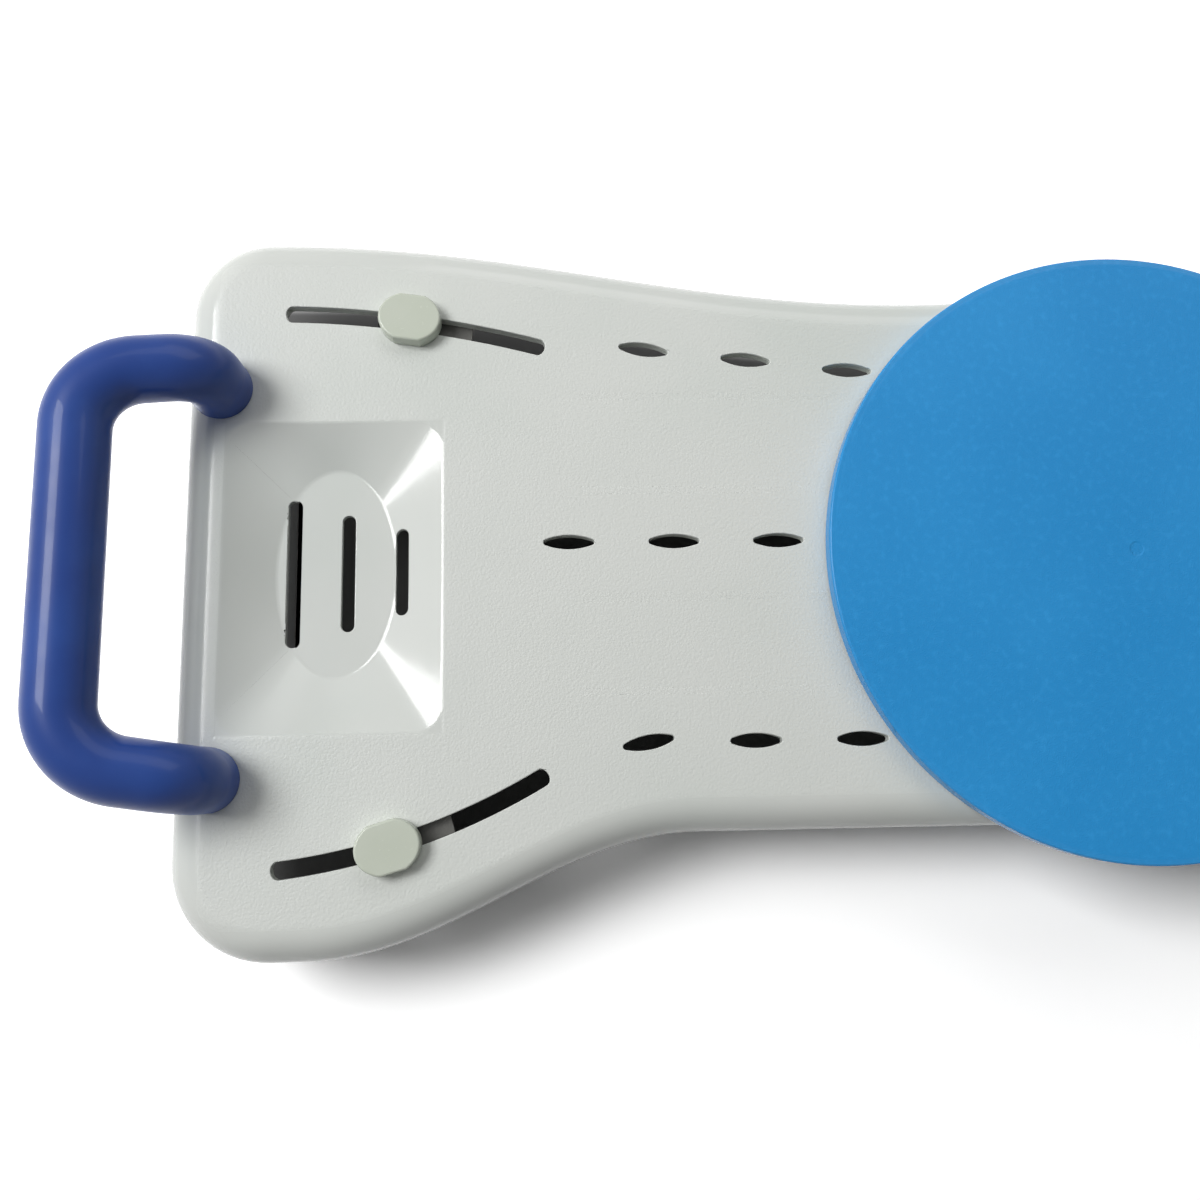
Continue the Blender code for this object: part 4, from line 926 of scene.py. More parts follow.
def drain_tool(x, y, tilt, grow, low, high):
    """A lens-shaped hole whose tips are cut off and rounded."""
    half_length = DRAIN_LENGTH / 2 + grow
    half_width = DRAIN_WIDTH / 2 + grow
    to_point = half_length + DRAIN_TIP
    radius = (to_point**2 + half_width**2) / (2 * half_width)
    tool = rod(radius, at(0.0, half_width - radius, low), high - low, DRAIN_SIDES)
    other = rod(radius, at(0.0, radius - half_width, low), high - low, DRAIN_SIDES)
    left = at(-half_length, -2 * half_width, low - OVERCUT)
    trim = block(left, at(half_length, 2 * half_width, high + OVERCUT))
    combine(tool, "INTERSECT", other, trim)
    edit(tool)
    pick("EDGE", lambda edge: upright(edge) and edge.calc_face_angle() > TIP_ANGLE)
    round_off(DRAIN_CORNER, TIP_SEGMENTS)
    done()
    turn = Matrix.Rotation(math.radians(tilt), 4, "Z")
    tool.data.transform(Matrix.Translation(at(x, y)) @ turn @ Matrix.Translation(-at(0.0, 0.0)))
    return tool


def drain_places():
    """Place and tilt of each drain hole. The rear and front rows are repeated under the disc."""
    places = []
    for step in range(DRAINS_IN_ROW):
        along = step * DRAIN_PITCH
        rear_tilt = REAR_ROW_TILT * (1 - step / DRAINS_IN_ROW)
        rear = (REAR_ROW[0] + along, REAR_ROW[1] + step * REAR_ROW_STEP, rear_tilt)
        front = (FRONT_ROW[0] + along, FRONT_ROW[1], FRONT_ROW_TILT if step == 0 else 0.0)
        for x, y, tilt in (rear, front):
            places += [(x, y, tilt), (-x, y, -tilt)]
        places.append((MIDDLE_ROW[0] + along, MIDDLE_ROW[1], 0.0))
    return places


# %% Trim the ribs, and unite all with the board
HANDLE_X = 0.0196 - HALF_LENGTH
HANDLE_Y = 0.0015
HANDLE_SPACING = 0.1945
BOSS_RADIUS = 0.011
BOSS_DEPTH = 0.014
COLLAR_RADIUS = 0.027
COLLAR_DEPTH = 0.020
COLLAR_SIDES = 96
TRIM = 0.0015
disc_x = DISC_AXIS.x - MIDDLE
disc_y = DISC_AXIS.y
leg_ys = [HANDLE_Y + side * HANDLE_SPACING / 2 for side in (-1, 1)]


def grown(name, width):
    """A copy of the plain slab, grown on all sides by a width, and left in edit mode."""
    slab = copy_of(form, name)
    edit(slab)
    pick_all()
    bpy.ops.transform.shrink_fatten(value=width, use_even_offset=True)
    return slab


trimmer = grown("trimmer", -TRIM)
pick("VERT", lambda point: point.co.z < BOTTOM + 2 * TRIM)
bpy.ops.transform.translate(value=(0.0, 0.0, -TRIM))
done()

stiffeners = ribs()
stiffeners += [rod(BOSS_RADIUS, at(HANDLE_X, y, -BOSS_DEPTH), BOSS_DEPTH + BOSS_TOP) for y in leg_ys]
for piece in stiffeners:
    combine(piece, "INTERSECT", copy_of(trimmer, "tool"))
stiffeners += [slot_tool(corner, SLOT_LIP, -LIP_DEPTH, LIP_TOP) for corner in CORNERS]
stiffeners += [drain_tool(*place, DRAIN_LIP, -LIP_DEPTH, LIP_TOP) for place in drain_places()]
collar_foot = at(disc_x, disc_y, -COLLAR_DEPTH)
stiffeners.append(rod(COLLAR_RADIUS, collar_foot, COLLAR_DEPTH + BOSS_TOP, COLLAR_SIDES))
combine(solid, "UNION", *stiffeners)
bpy.data.objects.remove(trimmer)
print("with its ribs the board has", len(solid.data.polygons), "faces")

# %% [markdown]
# ## Openings
# Everything that goes right through is cut now, and the upper edges of the holes get a small round, as
# the mould has it: a sharp black line would look drawn on. The holes under the disc and the handle come
# after that, because nobody sees their edges.

# %% Cut the openings
DISH_SLOT_WIDTH = 0.0066
DISH_SLOT_XS = (-0.0215, 0.0057, 0.0329)
DISH_SLOT_LENGTHS = (0.075, 0.0595, 0.044)
HOLE_ROUND = 0.0005
DISH_ROUND = 0.0009


def dish_slot_tool(x, length):
    half = DISH_SLOT_WIDTH / 2
    y = DISH_Y + DISH_FLOOR_SHIFT
    tool = block(at(x - half, y - length / 2, -BOARD_DEPTH), at(x + half, y + length / 2, OVERCUT))
    edit(tool)
    pick("EDGE", upright)
    round_off(half - TINY, SLOT_END_SEGMENTS)
    done()
    return tool


cuts = [slot_tool(corner, 0.0, -BOARD_DEPTH, OVERCUT) for corner in CORNERS]
cuts += [drain_tool(*place, 0.0, -BOARD_DEPTH, OVERCUT) for place in drain_places()]
cuts += [dish_slot_tool(DISH_X + x, length) for x, length in zip(DISH_SLOT_XS, DISH_SLOT_LENGTHS)]
combine(solid, "DIFFERENCE", *cuts)
print("with its openings it has", len(solid.data.polygons), "faces")


# %% Round their edges
RIM_ANGLE = math.radians(50)
CREASE_ANGLE = math.radians(15)
STANDS = (-0.1, 0.1)  # how far an upright wall's normal points up
FACES_UP = (0.5, 1.1)  # the same for the skin's


def leans(face, low, high):
    """Whether a face's normal points up by an amount between two limits."""
    return low < face.normal.z < high


def hole_rim(edge):
    """An edge between the upper skin and an upright wall of a hole."""
    if len(edge.link_faces) != 2 or edge.calc_face_angle() < RIM_ANGLE:
        return False
    first, second = sorted(edge.link_faces, key=lambda face: face.normal.z)
    return leans(first, *STANDS) and leans(second, *FACES_UP)


def dish_rim(edge):
    """The edge between the flat top and the slopes of the dish."""
    if not level(edge, TOP) or edge.calc_face_angle() < CREASE_ANGLE:
        return False
    place = (edge.verts[0].co + edge.verts[1].co) / 2 - at(DISH_X, DISH_Y)
    return abs(place.x) < DISH_LENGTH / 2 + TINY and abs(place.y) < DISH_WIDTH / 2 + TINY


edit(solid)
rims = pick("EDGE", hole_rim)
round_off(HOLE_ROUND)
slopes = pick("EDGE", dish_rim)
round_off(DISH_ROUND)
done()
print("rounded", rims, "edges of holes and", slopes, "edges of the dish")

# %% Room for the swivel joint and the screws
BUSH_HOLE = 0.0203
RECESS_RADIUS = 0.028
TRACK_RADIUS = 0.105
GROOVE_WIDTH = 0.0146
GROOVE_DEPTH = 0.001
SCREW_HOLE = 0.0033
SCREW_SIDES = 32
BUSH_SIDES = 64
RING_SIDES = 160


def ring(centre, radius, width, low, high):
    """A flat ring about an upright axis, between two heights above a centre."""
    depth = high - low
    outer = rod(radius + width / 2, centre + UP * low, depth, RING_SIDES)
    inner = rod(radius - width / 2, centre + UP * (low - OVERCUT), depth + 2 * OVERCUT, RING_SIDES)
    combine(outer, "DIFFERENCE", inner)
    return outer


through = 2 * BOARD_DEPTH
recess_foot = at(disc_x, disc_y, -through)
hidden_cuts = [ring(at(disc_x, disc_y), TRACK_RADIUS, GROOVE_WIDTH, -GROOVE_DEPTH, OVERCUT)]
hidden_cuts.append(rod(BUSH_HOLE, at(disc_x, disc_y, -BOARD_DEPTH), through, BUSH_SIDES))
hidden_cuts.append(rod(RECESS_RADIUS, recess_foot, through - COLLAR_DEPTH, BUSH_SIDES))
hidden_cuts += [rod(SCREW_HOLE, at(HANDLE_X, y, -BOARD_DEPTH), through, SCREW_SIDES) for y in leg_ys]
combine(solid, "DIFFERENCE", *hidden_cuts)

# %% [markdown]
# The last step is the same for every piece. Weighted Normal lets large faces count for more, so that
# they look truly flat beside their rounded edges. The piece then gets its finish and is hung on the body
# that it rides on, and the working model's parts that it stands for are hidden.

# %% Finish the board
def smooth(piece, angle=32.0):
    """Shades a piece smooth up to an angle, with its large faces kept truly flat."""
    work_on(piece)
    bpy.ops.object.shade_smooth_by_angle(angle=math.radians(angle))
    apply_modifier(piece, "WEIGHTED_NORMAL", keep_sharp=True, weight=100)


def finish_piece(piece, body, finish, *nodes):
    """Gives a piece its finish, its body and the place of the working model's parts."""
    piece.data.materials.clear()
    piece.data.materials.append(FINISHES[finish])
    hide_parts(*nodes)
    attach(piece, body)
    print(piece.name, "has", len(piece.data.polygons), "faces")


smooth(solid)
finish_piece(solid, "board", "board_plastic", "board_shell")

# %% [markdown]
# ## The grab handle
# The handle is a tube of even thickness that rises from the board, leans outwards and turns two corners.
# A circle is extruded along each straight stretch and spun round the centre of each bend, which gives
# true arcs. Half of it is enough, because a copy of it is flipped over for the other half. The legs are
# then trimmed by the plain slab, grown by a hair, so that they stand on the rolled edge without a gap
# that shows.

# %% Path of the handle
HANDLE_TUBE = 0.0314
GRIP_SPACING = 0.1775
HANDLE_REACH = 0.0516
HANDLE_RISE = 0.0445
HANDLE_LEAN = math.radians(14.5)
LOWER_BEND = 0.0204
UPPER_BEND = 0.031
TUBE_SIDES = 64
BEND_STEPS = 20

knee_height = HANDLE_RISE - HANDLE_REACH * math.tan(HANDLE_LEAN)
handle_foot = at(HANDLE_X, HANDLE_Y + HANDLE_SPACING / 2, -BOSS_DEPTH)
knee = at(HANDLE_X, HANDLE_Y + HANDLE_SPACING / 2, knee_height)
shoulder = at(HANDLE_X - HANDLE_REACH, HANDLE_Y + GRIP_SPACING / 2, HANDLE_RISE)
half_way = at(HANDLE_X - HANDLE_REACH, HANDLE_Y, HANDLE_RISE)


# %% Draw the tube along it
def run_to(start, corner, after, radius, steps):
    """Extrudes the picked face towards a corner and spins it round the bend there."""
    ahead = (corner - start).normalized()
    out = (after - corner).normalized()
    turn = ahead.angle(out)
    tangent = radius * math.tan(turn / 2)
    extrude(*(corner - ahead * tangent - start))
    axis = ahead.cross(out).normalized()
    centre = corner - ahead * tangent + axis.cross(ahead) * radius
    spin(turn, centre, axis, steps)
    return corner + out * tangent


def handle_half():
    circle = {"radius": HANDLE_TUBE / 2, "vertices": TUBE_SIDES, "fill_type": "NGON"}
    bpy.ops.mesh.primitive_circle_add(location=handle_foot, **circle)
    half = added("handle_tube")
    edit(half)
    pick_all("FACE")
    bend_end = run_to(handle_foot, knee, shoulder, LOWER_BEND, BEND_STEPS)
    bend_end = run_to(bend_end, shoulder, half_way, UPPER_BEND, BEND_STEPS)
    extrude(*(half_way - bend_end))
    bpy.ops.mesh.delete(type="FACE")
    tidy_normals()
    done()
    return half


# %% Flip a copy over, and seat the legs
SCREW_ROOM = 0.0203

handle = handle_half()
edit(handle)
pick_all()
bpy.ops.mesh.duplicate()
bpy.ops.transform.resize(value=(1.0, -1.0, 1.0), center_override=half_way)
tidy_normals()
done()
seat = grown("seat", GAP)
done()
hole_depth = BOARD_DEPTH + SCREW_ROOM
holes = [rod(SCREW_HOLE, at(HANDLE_X, y, -BOARD_DEPTH), hole_depth, SCREW_SIDES) for y in leg_ys]
combine(handle, "DIFFERENCE", seat, *holes)
smooth(handle)
finish_piece(handle, "board", "handle_plastic", "grab_handle")
print("the handle measures", [round(side * 1000, 1) for side in handle.dimensions], "mm")
bpy.data.objects.remove(form)

# %% [markdown]
# ## The disc
# The disc is turned: one side of its section is drawn point by point and spun round the disc's axis.
# The section runs from the middle of the top, over the rim, and back below through the skirt, the track
# that slides on the glide ring, a stiffening ring, and the hollow spigot that the bolt holds.

# %% Draw the disc's section and spin it
DISC_STEPS = 192
DISC_EDGE = 0.0012
DISC_EDGE_SEGMENTS = 5
DISC_HEIGHT = DISC_TOP - TOP  # heights are above the board's top
SKIRT_INNER = 0.152
SKIRT_UNDER = 0.0015
SKIN_UNDER = 0.0065
TRACK_OUTER = 0.108
TRACK_INNER = 0.102
TRACK_UNDER = 0.0016
RIB_UNDER = 0.0028
RING_OUTER = 0.06525
RING_INNER = 0.06275
HUB_OUTER = 0.0247
HUB_UNDER = 0.0023
SPIGOT_OUTER = 0.017
SPIGOT_INNER = 0.0145
SPIGOT_UNDER = -0.0197
SPIGOT_ROOT = -0.0035
SOCKET_OUTER = 0.0113
SOCKET_INNER = 0.0083
SOCKET_ROOT = -0.0054
DISC_SECTION = (
    (0.0, DISC_HEIGHT),
    (DISC_RADIUS, DISC_HEIGHT),
    (DISC_RADIUS, SKIRT_UNDER),
    (SKIRT_INNER, SKIRT_UNDER),
    (SKIRT_INNER, SKIN_UNDER),
    (TRACK_OUTER, SKIN_UNDER),
    (TRACK_OUTER, TRACK_UNDER),
    (TRACK_INNER, TRACK_UNDER),
    (TRACK_INNER, SKIN_UNDER),
    (RING_OUTER, SKIN_UNDER),
    (RING_OUTER, RIB_UNDER),
    (RING_INNER, RIB_UNDER),
    (RING_INNER, SKIN_UNDER),
    (HUB_OUTER, SKIN_UNDER),
    (HUB_OUTER, HUB_UNDER),
    (SPIGOT_OUTER, HUB_UNDER),
    (SPIGOT_OUTER, SPIGOT_UNDER),
    (SPIGOT_INNER, SPIGOT_UNDER),
    (SPIGOT_INNER, SPIGOT_ROOT),
    (SOCKET_OUTER, SPIGOT_ROOT),
    (SOCKET_OUTER, SPIGOT_UNDER),
    (SOCKET_INNER, SPIGOT_UNDER),
    (SOCKET_INNER, SOCKET_ROOT),
    (0.0, SOCKET_ROOT),
)


def draw(name, section, centre):
    """Draws a section from (x, z) points, seen from a centre, and stays in edit mode."""
    bpy.ops.mesh.primitive_plane_add(size=GAP, location=centre)
    piece = added(name)
    edit(piece)
    pick_all("VERT")
    bpy.ops.mesh.merge(type="CENTER")
    bpy.ops.transform.translate(value=(section[0][0], 0.0, section[0][1]))
    for (x, z), (next_x, next_z) in zip(section, section[1:]):
        extrude(x=next_x - x, z=next_z - z)
    pick_all()
    return piece


def turned(name, section, centre, steps):
    """A shape turned about an upright axis, from (radius, height) points of its section."""
    piece = draw(name, section, centre)
    spin(2 * math.pi, centre, UP, steps)
    tidy_normals()
    done()
    return piece


def from_axis(part, centre):
    """The shortest distance of an edge's or face's points from an upright axis."""
    return min((point.co - centre).xy.length for point in part.verts)


disc_centre = at(disc_x, disc_y)
disc = turned("disc_moulding", DISC_SECTION, disc_centre, DISC_STEPS)
edit(disc)
rim = DISC_RADIUS - GAP
pick("EDGE", lambda edge: level(edge, DISC_TOP) and from_axis(edge, disc_centre) > rim)
round_off(DISC_EDGE, DISC_EDGE_SEGMENTS)
done()

# %% Ribs below the disc
DISC_RIBS = 8
DISC_RIB_WALL = 0.0025
DISC_RIB_START = 0.0244
DISC_RIB_END = 0.1522

disc_ribs = []
to_middle = Matrix.Translation(-disc_centre)
for step in range(DISC_RIBS):
    low = disc_centre + Vector((DISC_RIB_START, -DISC_RIB_WALL / 2, RIB_UNDER + GAP))
    rib = block(low, disc_centre + Vector((DISC_RIB_END, DISC_RIB_WALL / 2, SKIN_UNDER + GAP)))
    turn = Matrix.Rotation(math.tau * (step + 0.5) / DISC_RIBS, 4, "Z")
    rib.data.transform(to_middle.inverted() @ turn @ to_middle)
    disc_ribs.append(rib)
combine(disc, "UNION", *disc_ribs)
smooth(disc)
finish_piece(disc, "disc", "disc_plastic", "swivel_disc")

# %% [markdown]
# ## The caps
# Each foot is tightened from above by an ivory cap. It is a knob with two short flats for the fingers,
# and its outline runs from them in wide curves: a cylinder is squeezed to an oval, and a block trims
# it. Its upper edge is rounded, and a pocket below takes the bolt's head. It is made once, at the
# world's origin, and copied to each foot, turned along its slot.

# %% Where the feet stand
def foot_frame(corner):
    """Puts a shape that was made at the world's origin at one foot, with +X outward along its slot."""
    centre = Vector(joints[f"foot_{corner}_slide"]["pos_m"])
    cap_low, cap_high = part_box("foot_cap_" + corner)
    place = (cap_low + cap_high) / 2
    out = place - centre
    along = Vector((-out.y, out.x, 0.0)).normalized()
    if along.x * (place.x - MIDDLE) < 0:
        along.negate()
    turn = Matrix.Rotation(math.atan2(along.y, along.x), 4, "Z")
    return Matrix.Translation((place.x, place.y, TOP)) @ turn


def set_at_feet(model, name, finish):
    """Copies a model to the four feet, and removes it."""
    for corner in CORNERS:
        piece = copy_of(model, f"{corner}_{name}")
        piece.data.transform(foot_frame(corner))
        body = "nut_" + corner if name == "hand_nut" else "foot_" + corner
        finish_piece(piece, body, finish, f"{name}_{corner}")
    bpy.data.objects.remove(model)


# %% Model the cap once
CAP_LENGTH = 0.0316
CAP_FLATS = 0.0245
CAP_DEPTH = 0.008
CAP_OVAL = 0.0266  # its width without the flats
CAP_SIDES = 96
CAP_ROUND = 0.0013
CAP_ROUND_SEGMENTS = 5
BOLT_HEAD = 0.0065
BOLT_HEAD_DEPTH = 0.004

cap = rod(CAP_LENGTH / 2, GAP * UP, CAP_DEPTH, CAP_SIDES)
cap.data.transform(Matrix.Diagonal((1.0, CAP_OVAL / CAP_LENGTH, 1.0, 1.0)))
flats = Vector((CAP_LENGTH, CAP_FLATS / 2, CAP_DEPTH + OVERCUT))
combine(cap, "INTERSECT", block(-flats, flats))
edit(cap)
pick("EDGE", lambda edge: level(edge, GAP + CAP_DEPTH))
round_off(CAP_ROUND, CAP_ROUND_SEGMENTS)
done()
pocket_top = 3 * GAP + BOLT_HEAD_DEPTH
combine(cap, "DIFFERENCE", rod(BOLT_HEAD + GAP, -OVERCUT * UP, OVERCUT + pocket_top))
smooth(cap)
set_at_feet(cap, "foot_cap", "cap_plastic")

# %% [markdown]
# ## The feet
# Below each slot hangs a grey foot: a plate under the board, a leg that presses against the bath's
# inner wall, and a gusset on each side. Its section is drawn once and pulled out sideways. Sharp edges
# of a moulding are never quite sharp, so a Bevel modifier that looks for angles rounds them all.

# %% Sections and arcs
SHARP = 35.0  # degrees
ROUNDED = 50.0  # a rounded edge turns less than this from facet to facet


def arc(x, z, radius, start, end, steps=8):
    """Points along an arc. Its angles are in degrees."""
    angles = [math.radians(start + (end - start) * step / steps) for step in range(steps + 1)]
    return [(x + radius * math.cos(angle), z + radius * math.sin(angle)) for angle in angles]


def bar(name, section, length, middle=0.0):
    """A bar along Y with a closed section. Its middle lies at the given y."""
    piece = draw(name, [*section, section[0]], Vector((0.0, middle - length / 2, 0.0)))
    bpy.ops.mesh.remove_doubles(threshold=TINY / 10)
    bpy.ops.mesh.edge_face_add()
    extrude(y=length)
    tidy_normals()
    done()
    return piece


def soften(piece, width, segments=3):
    """Rounds all sharp edges of a piece."""
    limit = {"limit_method": "ANGLE", "angle_limit": math.radians(SHARP)}
    apply_modifier(piece, "BEVEL", width=width, segments=segments, **limit)
    smooth(piece, ROUNDED)


# %% The foot bracket
PLATE_INWARD = 0.031
PLATE_OUTWARD = 0.0165
PLATE_DEPTH = 0.005
FOOT_WIDTH = 0.044
PLATE_TOP = -LIP_DEPTH - GAP
PLATE_BOTTOM = PLATE_TOP - PLATE_DEPTH
LEG_WALL = 0.004
LEG_LENGTH = 0.0605
LEG_BOTTOM = PLATE_BOTTOM - LEG_LENGTH
FOOT_FILLET = 0.003
GUSSET_WALL = 0.003
GUSSET_DEPTH = 0.030
FOOT_ROUND = 0.0006
BOLT_RADIUS = 0.004

leg_inside = PLATE_OUTWARD - LEG_WALL
small = FOOT_FILLET / 2
section = [(-PLATE_INWARD, PLATE_BOTTOM), (leg_inside - small, PLATE_BOTTOM)]
section += [(leg_inside, PLATE_BOTTOM - small), (leg_inside, LEG_BOTTOM), (PLATE_OUTWARD, LEG_BOTTOM)]
section += arc(PLATE_OUTWARD - FOOT_FILLET, PLATE_TOP - FOOT_FILLET, FOOT_FILLET, 0, 90)
section.append((-PLATE_INWARD, PLATE_TOP))
bracket = bar("foot_bracket", section, FOOT_WIDTH)

toe = FOOT_FILLET - PLATE_INWARD
deep = PLATE_BOTTOM - GUSSET_DEPTH
gusset = [(toe, PLATE_BOTTOM + GAP), *arc(toe, deep, GUSSET_DEPTH - FOOT_FILLET, 90, 0, 20)]
gusset += [(leg_inside - FOOT_FILLET, deep - FOOT_FILLET), (leg_inside + GAP, deep - 2 * FOOT_FILLET)]
gusset.append((leg_inside + GAP, PLATE_BOTTOM + GAP))
for side in (-1, 1):
    middle = side * (FOOT_WIDTH / 2 - GAP - GUSSET_WALL / 2)
    combine(bracket, "UNION", bar("gusset", gusset, GUSSET_WALL, middle))
bore = BOLT_RADIUS + GAP
combine(bracket, "DIFFERENCE", rod(bore, (PLATE_BOTTOM - OVERCUT) * UP, 3 * OVERCUT))
soften(bracket, FOOT_ROUND)
set_at_feet(bracket, "foot_bracket", "foot_plastic")

# %% [markdown]
# A rubber boot covers the leg's outer side and its end, and grips the bath. Its ridges lie across the
# way in which it could slip. The boot is one closed section, with the ridges made by a loop.

# %% The rubber boot
PAD_DEPTH = 0.0035
PAD_RIDGE = 0.0012
PAD_RIDGES = 6
PAD_TOE = 0.003
PAD_HEEL = 0.012
PAD_ROUND = 0.00045

pad_in = PLATE_OUTWARD + GAP
pad_out = pad_in + PAD_DEPTH
pad_heel = leg_inside - GAP
pad_back = pad_heel - PAD_TOE / 2
pad_top = PLATE_BOTTOM - FOOT_FILLET
pad_floor = LEG_BOTTOM - GAP
pad_low = pad_floor - PAD_TOE
heel_top = pad_floor + PAD_HEEL
section = [(pad_in, pad_top), (pad_in, pad_floor), (pad_heel, pad_floor), (pad_heel, heel_top)]
section += [(pad_back, heel_top), (pad_back, pad_low), (pad_out, pad_low)]
pitch = (pad_top - pad_low - 2 * FOOT_FILLET) / (2 * PAD_RIDGES - 1)
pad_groove = pad_out - PAD_RIDGE
for ridge in range(PAD_RIDGES):
    top = pad_low + FOOT_FILLET + (2 * ridge + 1) * pitch
    section += [(pad_out, top), (pad_groove, top + pitch / 5)]
    if ridge < PAD_RIDGES - 1:
        section += [(pad_groove, top + 4 * pitch / 5), (pad_out, top + pitch)]
section.append((pad_groove, pad_top))
pad = bar("foot_pad", section, FOOT_WIDTH - 2 * GAP)
soften(pad, PAD_ROUND)
set_at_feet(pad, "foot_pad", "rubber")

# %% [markdown]
# A black hand nut below the plate tightens the foot. Seven hollows for the fingers are cut into a short
# cylinder, and a ring is sunk into its lower face, as mouldings have it to keep their walls even.

# %% The hand nut
WASHER_DEPTH = 0.0015
NUT_RADIUS = 0.0118
NUT_VALLEY = 0.0106
NUT_FLUTES = 7
FLUTE_RADIUS = 0.0042
NUT_DEPTH = 0.018
NUT_ROUND = 0.0008
NUT_RING = 0.0078
NUT_RING_WIDTH = 0.0022
NUT_RING_DEPTH = 0.0015
NUT_SIDES = 126
FLUTE_SIDES = 40

washer_top = PLATE_BOTTOM - GAP
nut_top = washer_top - WASHER_DEPTH - GAP
nut_bottom = nut_top - NUT_DEPTH
origin = Vector((0.0, 0.0, 0.0))
below_nut = (nut_bottom - OVERCUT) * UP
cut_depth = NUT_DEPTH + 2 * OVERCUT
nut = rod(NUT_RADIUS, nut_bottom * UP, NUT_DEPTH, NUT_SIDES)
nut_cuts = []
for step in range(NUT_FLUTES):
    angle = math.tau * (step + 0.5) / NUT_FLUTES
    way = Vector((math.cos(angle), math.sin(angle), 0.0))
    foot = below_nut + way * (NUT_VALLEY + FLUTE_RADIUS)
    nut_cuts.append(rod(FLUTE_RADIUS, foot, cut_depth, FLUTE_SIDES))
nut_cuts.append(rod(bore, below_nut, cut_depth))
ring_top = nut_bottom + NUT_RING_DEPTH
nut_cuts.append(ring(origin, NUT_RING, NUT_RING_WIDTH, nut_bottom - OVERCUT, ring_top))
combine(nut, "DIFFERENCE", *nut_cuts)
soften(nut, NUT_ROUND)
set_at_feet(nut, "hand_nut", "nut_plastic")

# %% [markdown]
# The bolt under each cap is turned: a flat head, a plain shank and a thread. At this size a thread is
# well enough made of rings. The square neck below the head rides in the slot and keeps the bolt from
# turning.

# %% The foot bolt
BOLT_TAIL = 0.004
BOLT_NECK_DEPTH = 0.0045
THREAD_PITCH = 0.00125
THREAD_DEPTH = 0.0006
BOLT_STEPS = 48  # round a bolt


def threaded(radius, start, tip):
    """Points of a threaded shank's section from its start to its tip, on the way up or down."""
    way = math.copysign(THREAD_PITCH, tip - start)
    turns = int((tip - start) / way)
    points = []
    for turn in range(turns):
        z = start + turn * way
        points += [(radius, z), (radius, z + way / 8), (radius - THREAD_DEPTH, z + way / 2)]
    return [*points, (radius, start + turns * way), (radius - THREAD_DEPTH, tip), (0.0, tip)]


head_top = 2 * GAP + BOLT_HEAD_DEPTH
section = [(0.0, head_top), *arc(BOLT_HEAD - GAP, head_top - GAP, GAP, 90, 0, 3)]
section += [(BOLT_HEAD, GAP), (BOLT_RADIUS, GAP)]
section += threaded(BOLT_RADIUS, nut_bottom + 4 * THREAD_PITCH, nut_bottom - BOLT_TAIL)
bolt = turned("foot_bolt", section, origin, BOLT_STEPS)
neck = BOLT_RADIUS - GAP / 3
combine(bolt, "UNION", block((-neck, -neck, -BOLT_NECK_DEPTH), (neck, neck, 2 * GAP)))
smooth(bolt)
set_at_feet(bolt, "foot_bolt", "steel")

# %% [markdown]
# ## Washers, screws and the pivot bolt
# These are standard parts, turned from a short section. A washer is stamped, so its edges are a little
# rounded. The lock washer is a split ring, and the pivot bolt has a hexagon head whose corners are
# turned off.

# %% Washers
FOOT_WASHER = 0.010
HANDLE_WASHER = 0.008
HANDLE_WASHER_DEPTH = 0.0015
HANDLE_SCREW_RADIUS = 0.003
RETAINER_RADIUS = 0.025
RETAINER_DEPTH = 0.002
LOCK_RADIUS = 0.009
LOCK_DEPTH = 0.0022
LOCK_CUT = 0.0009
PIVOT_RADIUS = 0.005
WASHER_ROUND = 0.0004
WASHER_STEPS = 64


def washer(name, radius, shank, centre, depth):
    """A washer whose top lies at a centre, round a shank with a little room."""
    hole, edge = shank + GAP, WASHER_ROUND
    section = [(hole, -depth), *arc(hole + edge, -edge, edge, 180, 90, 4)]
    section += arc(radius - edge, -edge, edge, 90, 0, 4)
    section += arc(radius - edge, edge - depth, edge, 0, -90, 4)
    made = turned(name, [*section, section[0]], centre, WASHER_STEPS)
    smooth(made)
    return made


foot_washer = washer("foot_washer", FOOT_WASHER, BOLT_RADIUS, washer_top * UP, WASHER_DEPTH)
set_at_feet(foot_washer, "foot_washer", "steel")

retainer_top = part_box("pivot_retainer")[1].z - TOP
lock_top = retainer_top - RETAINER_DEPTH - GAP
pivot_seat = lock_top - LOCK_DEPTH - GAP
retainer_centre = disc_centre + retainer_top * UP
retainer = washer("retainer", RETAINER_RADIUS, PIVOT_RADIUS, retainer_centre, RETAINER_DEPTH)
finish_piece(retainer, "disc", "steel", "pivot_retainer")

lock = washer("lock_washer", LOCK_RADIUS, PIVOT_RADIUS, disc_centre + lock_top * UP, LOCK_DEPTH)
half = LOCK_CUT / 2
low = disc_centre + Vector((0.0, -half, lock_top - LOCK_DEPTH - GAP))
split = block(low, disc_centre + Vector((2 * LOCK_RADIUS, half, lock_top + GAP)))
combine(lock, "DIFFERENCE", split)
smooth(lock)
finish_piece(lock, "disc", "steel", "pivot_lock_washer")

screw_top = -BOSS_DEPTH - GAP
for y, place in zip(leg_ys, ("front", "rear")):
    top = at(HANDLE_X, y, screw_top)
    made = washer(place + "_washer", HANDLE_WASHER, HANDLE_SCREW_RADIUS, top, HANDLE_WASHER_DEPTH)
    finish_piece(made, "board", "steel", "handle_washer_" + place)

# %% [markdown]
# The pivot bolt's hexagon is cut by a cone, which leaves the round chamfer that every such head has. A
# screw of the handle has a pan head with a cross recess: two crossed blocks are cut out of it.

